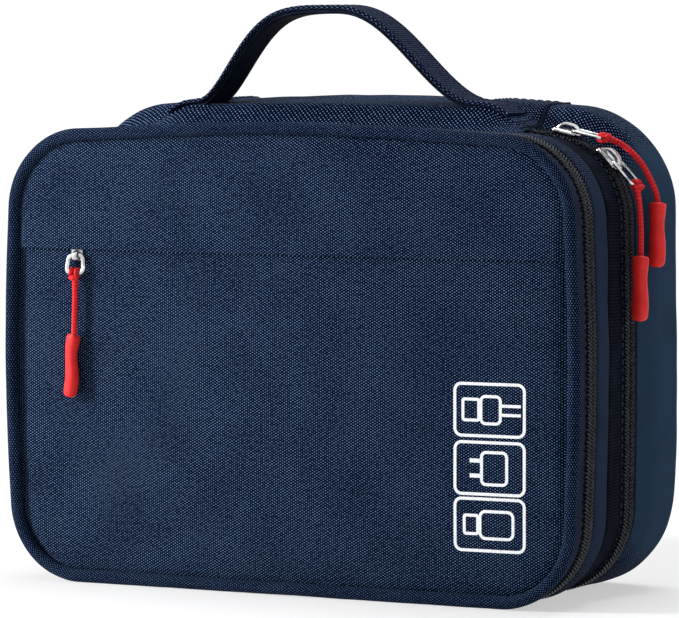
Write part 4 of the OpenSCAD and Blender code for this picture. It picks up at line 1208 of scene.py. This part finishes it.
COVER_NET_Z, LEAF_NET_Z = CASE_H * 0.6, CASE_H * 0.55
PADDED = "padded_panel"
inner_plate("pocket_back", 11.2, 3.4, 0.6, CASE_H, "cover", lining, hides=["pocket_lining"])
inner_plate("cover_inside", 13.6, 2.4, 1.0, CASE_H, "cover", lining, 0.6, hides=["cover_lining", "cover_board"])
inner_plate("cover_net", 15.6, 8.5, 0.4, COVER_NET_Z, "cover", net_cloth, 0.5, hides=["cover_mesh_pocket"])
inner_plate("leaf_front_lining", 36.6, 3.6, 1.2, CASE_H, "leaf", lining, -0.3, PADDED, ["divider_panel"])
inner_plate("leaf_rear_lining", 38.6, 3.6, 1.2, CASE_H, "leaf", lining, 0.3, PADDED)
inner_plate("leaf_net", 40.6, 8.5, 0.4, LEAF_NET_Z, "leaf", net_cloth, 0.6, hides=["leaf_mesh_pocket"])
for name, body, slot, line in (("cover_side_lining", "cover", None, [[5.6, 4.6], [6.4, 3.5], [10, 3.3], [14.2, 3.1]]),
                               ("leaf_side_lining", "leaf", PADDED, [[18.2, 2.9], [24, 2.9], [33.5, 2.8], [37.4, 4.2]]),
                               ("leaf_rear_side", "leaf", PADDED, [[38.2, 4.3], [44, 3.4], [50, 3.0], [56.8, 2.6]])):
    finish_piece(thicken(rim_sheet(name, 0, ROUND, line, 2.6), 0.5), lining, body, slot=slot)


def level_bar(name, x, depth, height, half, sides, flat):
    """A flat bar with rounded edges that runs level along the width."""
    line = np.stack([x, 0 * x + depth, 0 * x + height], -1)
    return tube(name, line, half, up=(0, 1, 0), sides=sides, flat=flat, power=4)


x = np.linspace(-117, 117, 80)
for body, depth, height in (("cover", 15.7, COVER_NET_Z), ("leaf", 40.8, LEAF_NET_Z)):
    hem = level_bar(body + "_net_hem", x, depth + 0.5 * bell(x, 118, 1), height, 3.0, 14, 0.22)
    finish_piece(hem, elastic, body)


def loop_band(z):
    """Elastic band sewn down between six loops: flat at each seam and standing off between them."""
    pitch, leg = 29.0, 3.0
    total = 6 * pitch + leg
    x = np.linspace(0, total, 360)
    inside = np.mod(x, pitch) - leg
    rise = np.where(inside > 0, 1 - np.abs(2 * inside / (pitch - leg) - 1) ** 5, 0)
    depth = 36.0 - 5.0 * np.clip(rise, 0, 1)
    rows = np.linspace(-10, 10, 12)
    points = np.stack(np.broadcast_arrays(x[None] - total / 2, depth[None], z + rows[:, None]), -1)
    return skin("loops", points, np.stack([points[..., 2], points[..., 0]], -1), guide=(0, 60, 90))


bands = joined("cable_loops", [loop_band(53.5), loop_band(133.5)])
finish_piece(thicken(bands, 0.8), elastic, "leaf", hides=["elastic_loops"])
x = np.linspace(-106, 106, 60)
tapes = [level_bar("tape", x, 6.0, POCKET_ZIP_Z + side * 4.8, 3.2, 12, 0.2) for side in (-1, 1)]
finish_piece(joined("pocket_zip_tapes", tapes), zip_tape, "cover", hides=["pocket_zip"])
x = np.arange(-105, 105, COIL_PITCH)
c, s = math.cos(0.4), math.sin(0.4)
for k, side in enumerate((-1, 1)):
    axes = np.broadcast_to(np.array([[side * s, 0, c], [c, 0, -side * s], [0, -1.0, 0]]), (len(x), 3, 3))
    centres = np.stack([x + k * COIL_PITCH / 2, 0 * x + 5.6, 0 * x + POCKET_ZIP_Z + side * 1.8], -1)
    finish_piece(scatter(f"pocket_zip_teeth_{k}", TOOTH, centres, axes, (2.1, 0.62, 0.9)), coil, "cover")

inside_line = [[64.4, 4.2], [65.2, 6.0], [68, 6.3], [76, 6.4], [86, 6.5], [92, 6.9], [94.4, 8.5], [95.2, 12.5],
               [95.3, 17]]
inside = rim_sheet("shell_lining_sides", 0, ROUND, inside_line, 2.4, 0.3, 41)
finish_piece(thicken(inside, 0.6), lining, "shell", hides=["shell_lining"])
inside_back = end_panel("shell_lining_back", 95.2, 15.5, 0.2, 43)
finish_piece(thicken(inside_back, 0.6), lining, "shell")
for name in ("long_divider", "left_divider", "right_divider"):
    low, high = (np.array(c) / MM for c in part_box(name))
    short = np.array([1.0 if name == "long_divider" else 0.0, 0, 0])
    low, high = low - [0, FRONT_Y / MM, 0] + short, high - [0, FRONT_Y / MM, 0] - short
    pad = padded_slab(name + "_pad", low, high)
    finish_piece(pad, lining_solid, "shell", hides=[name])
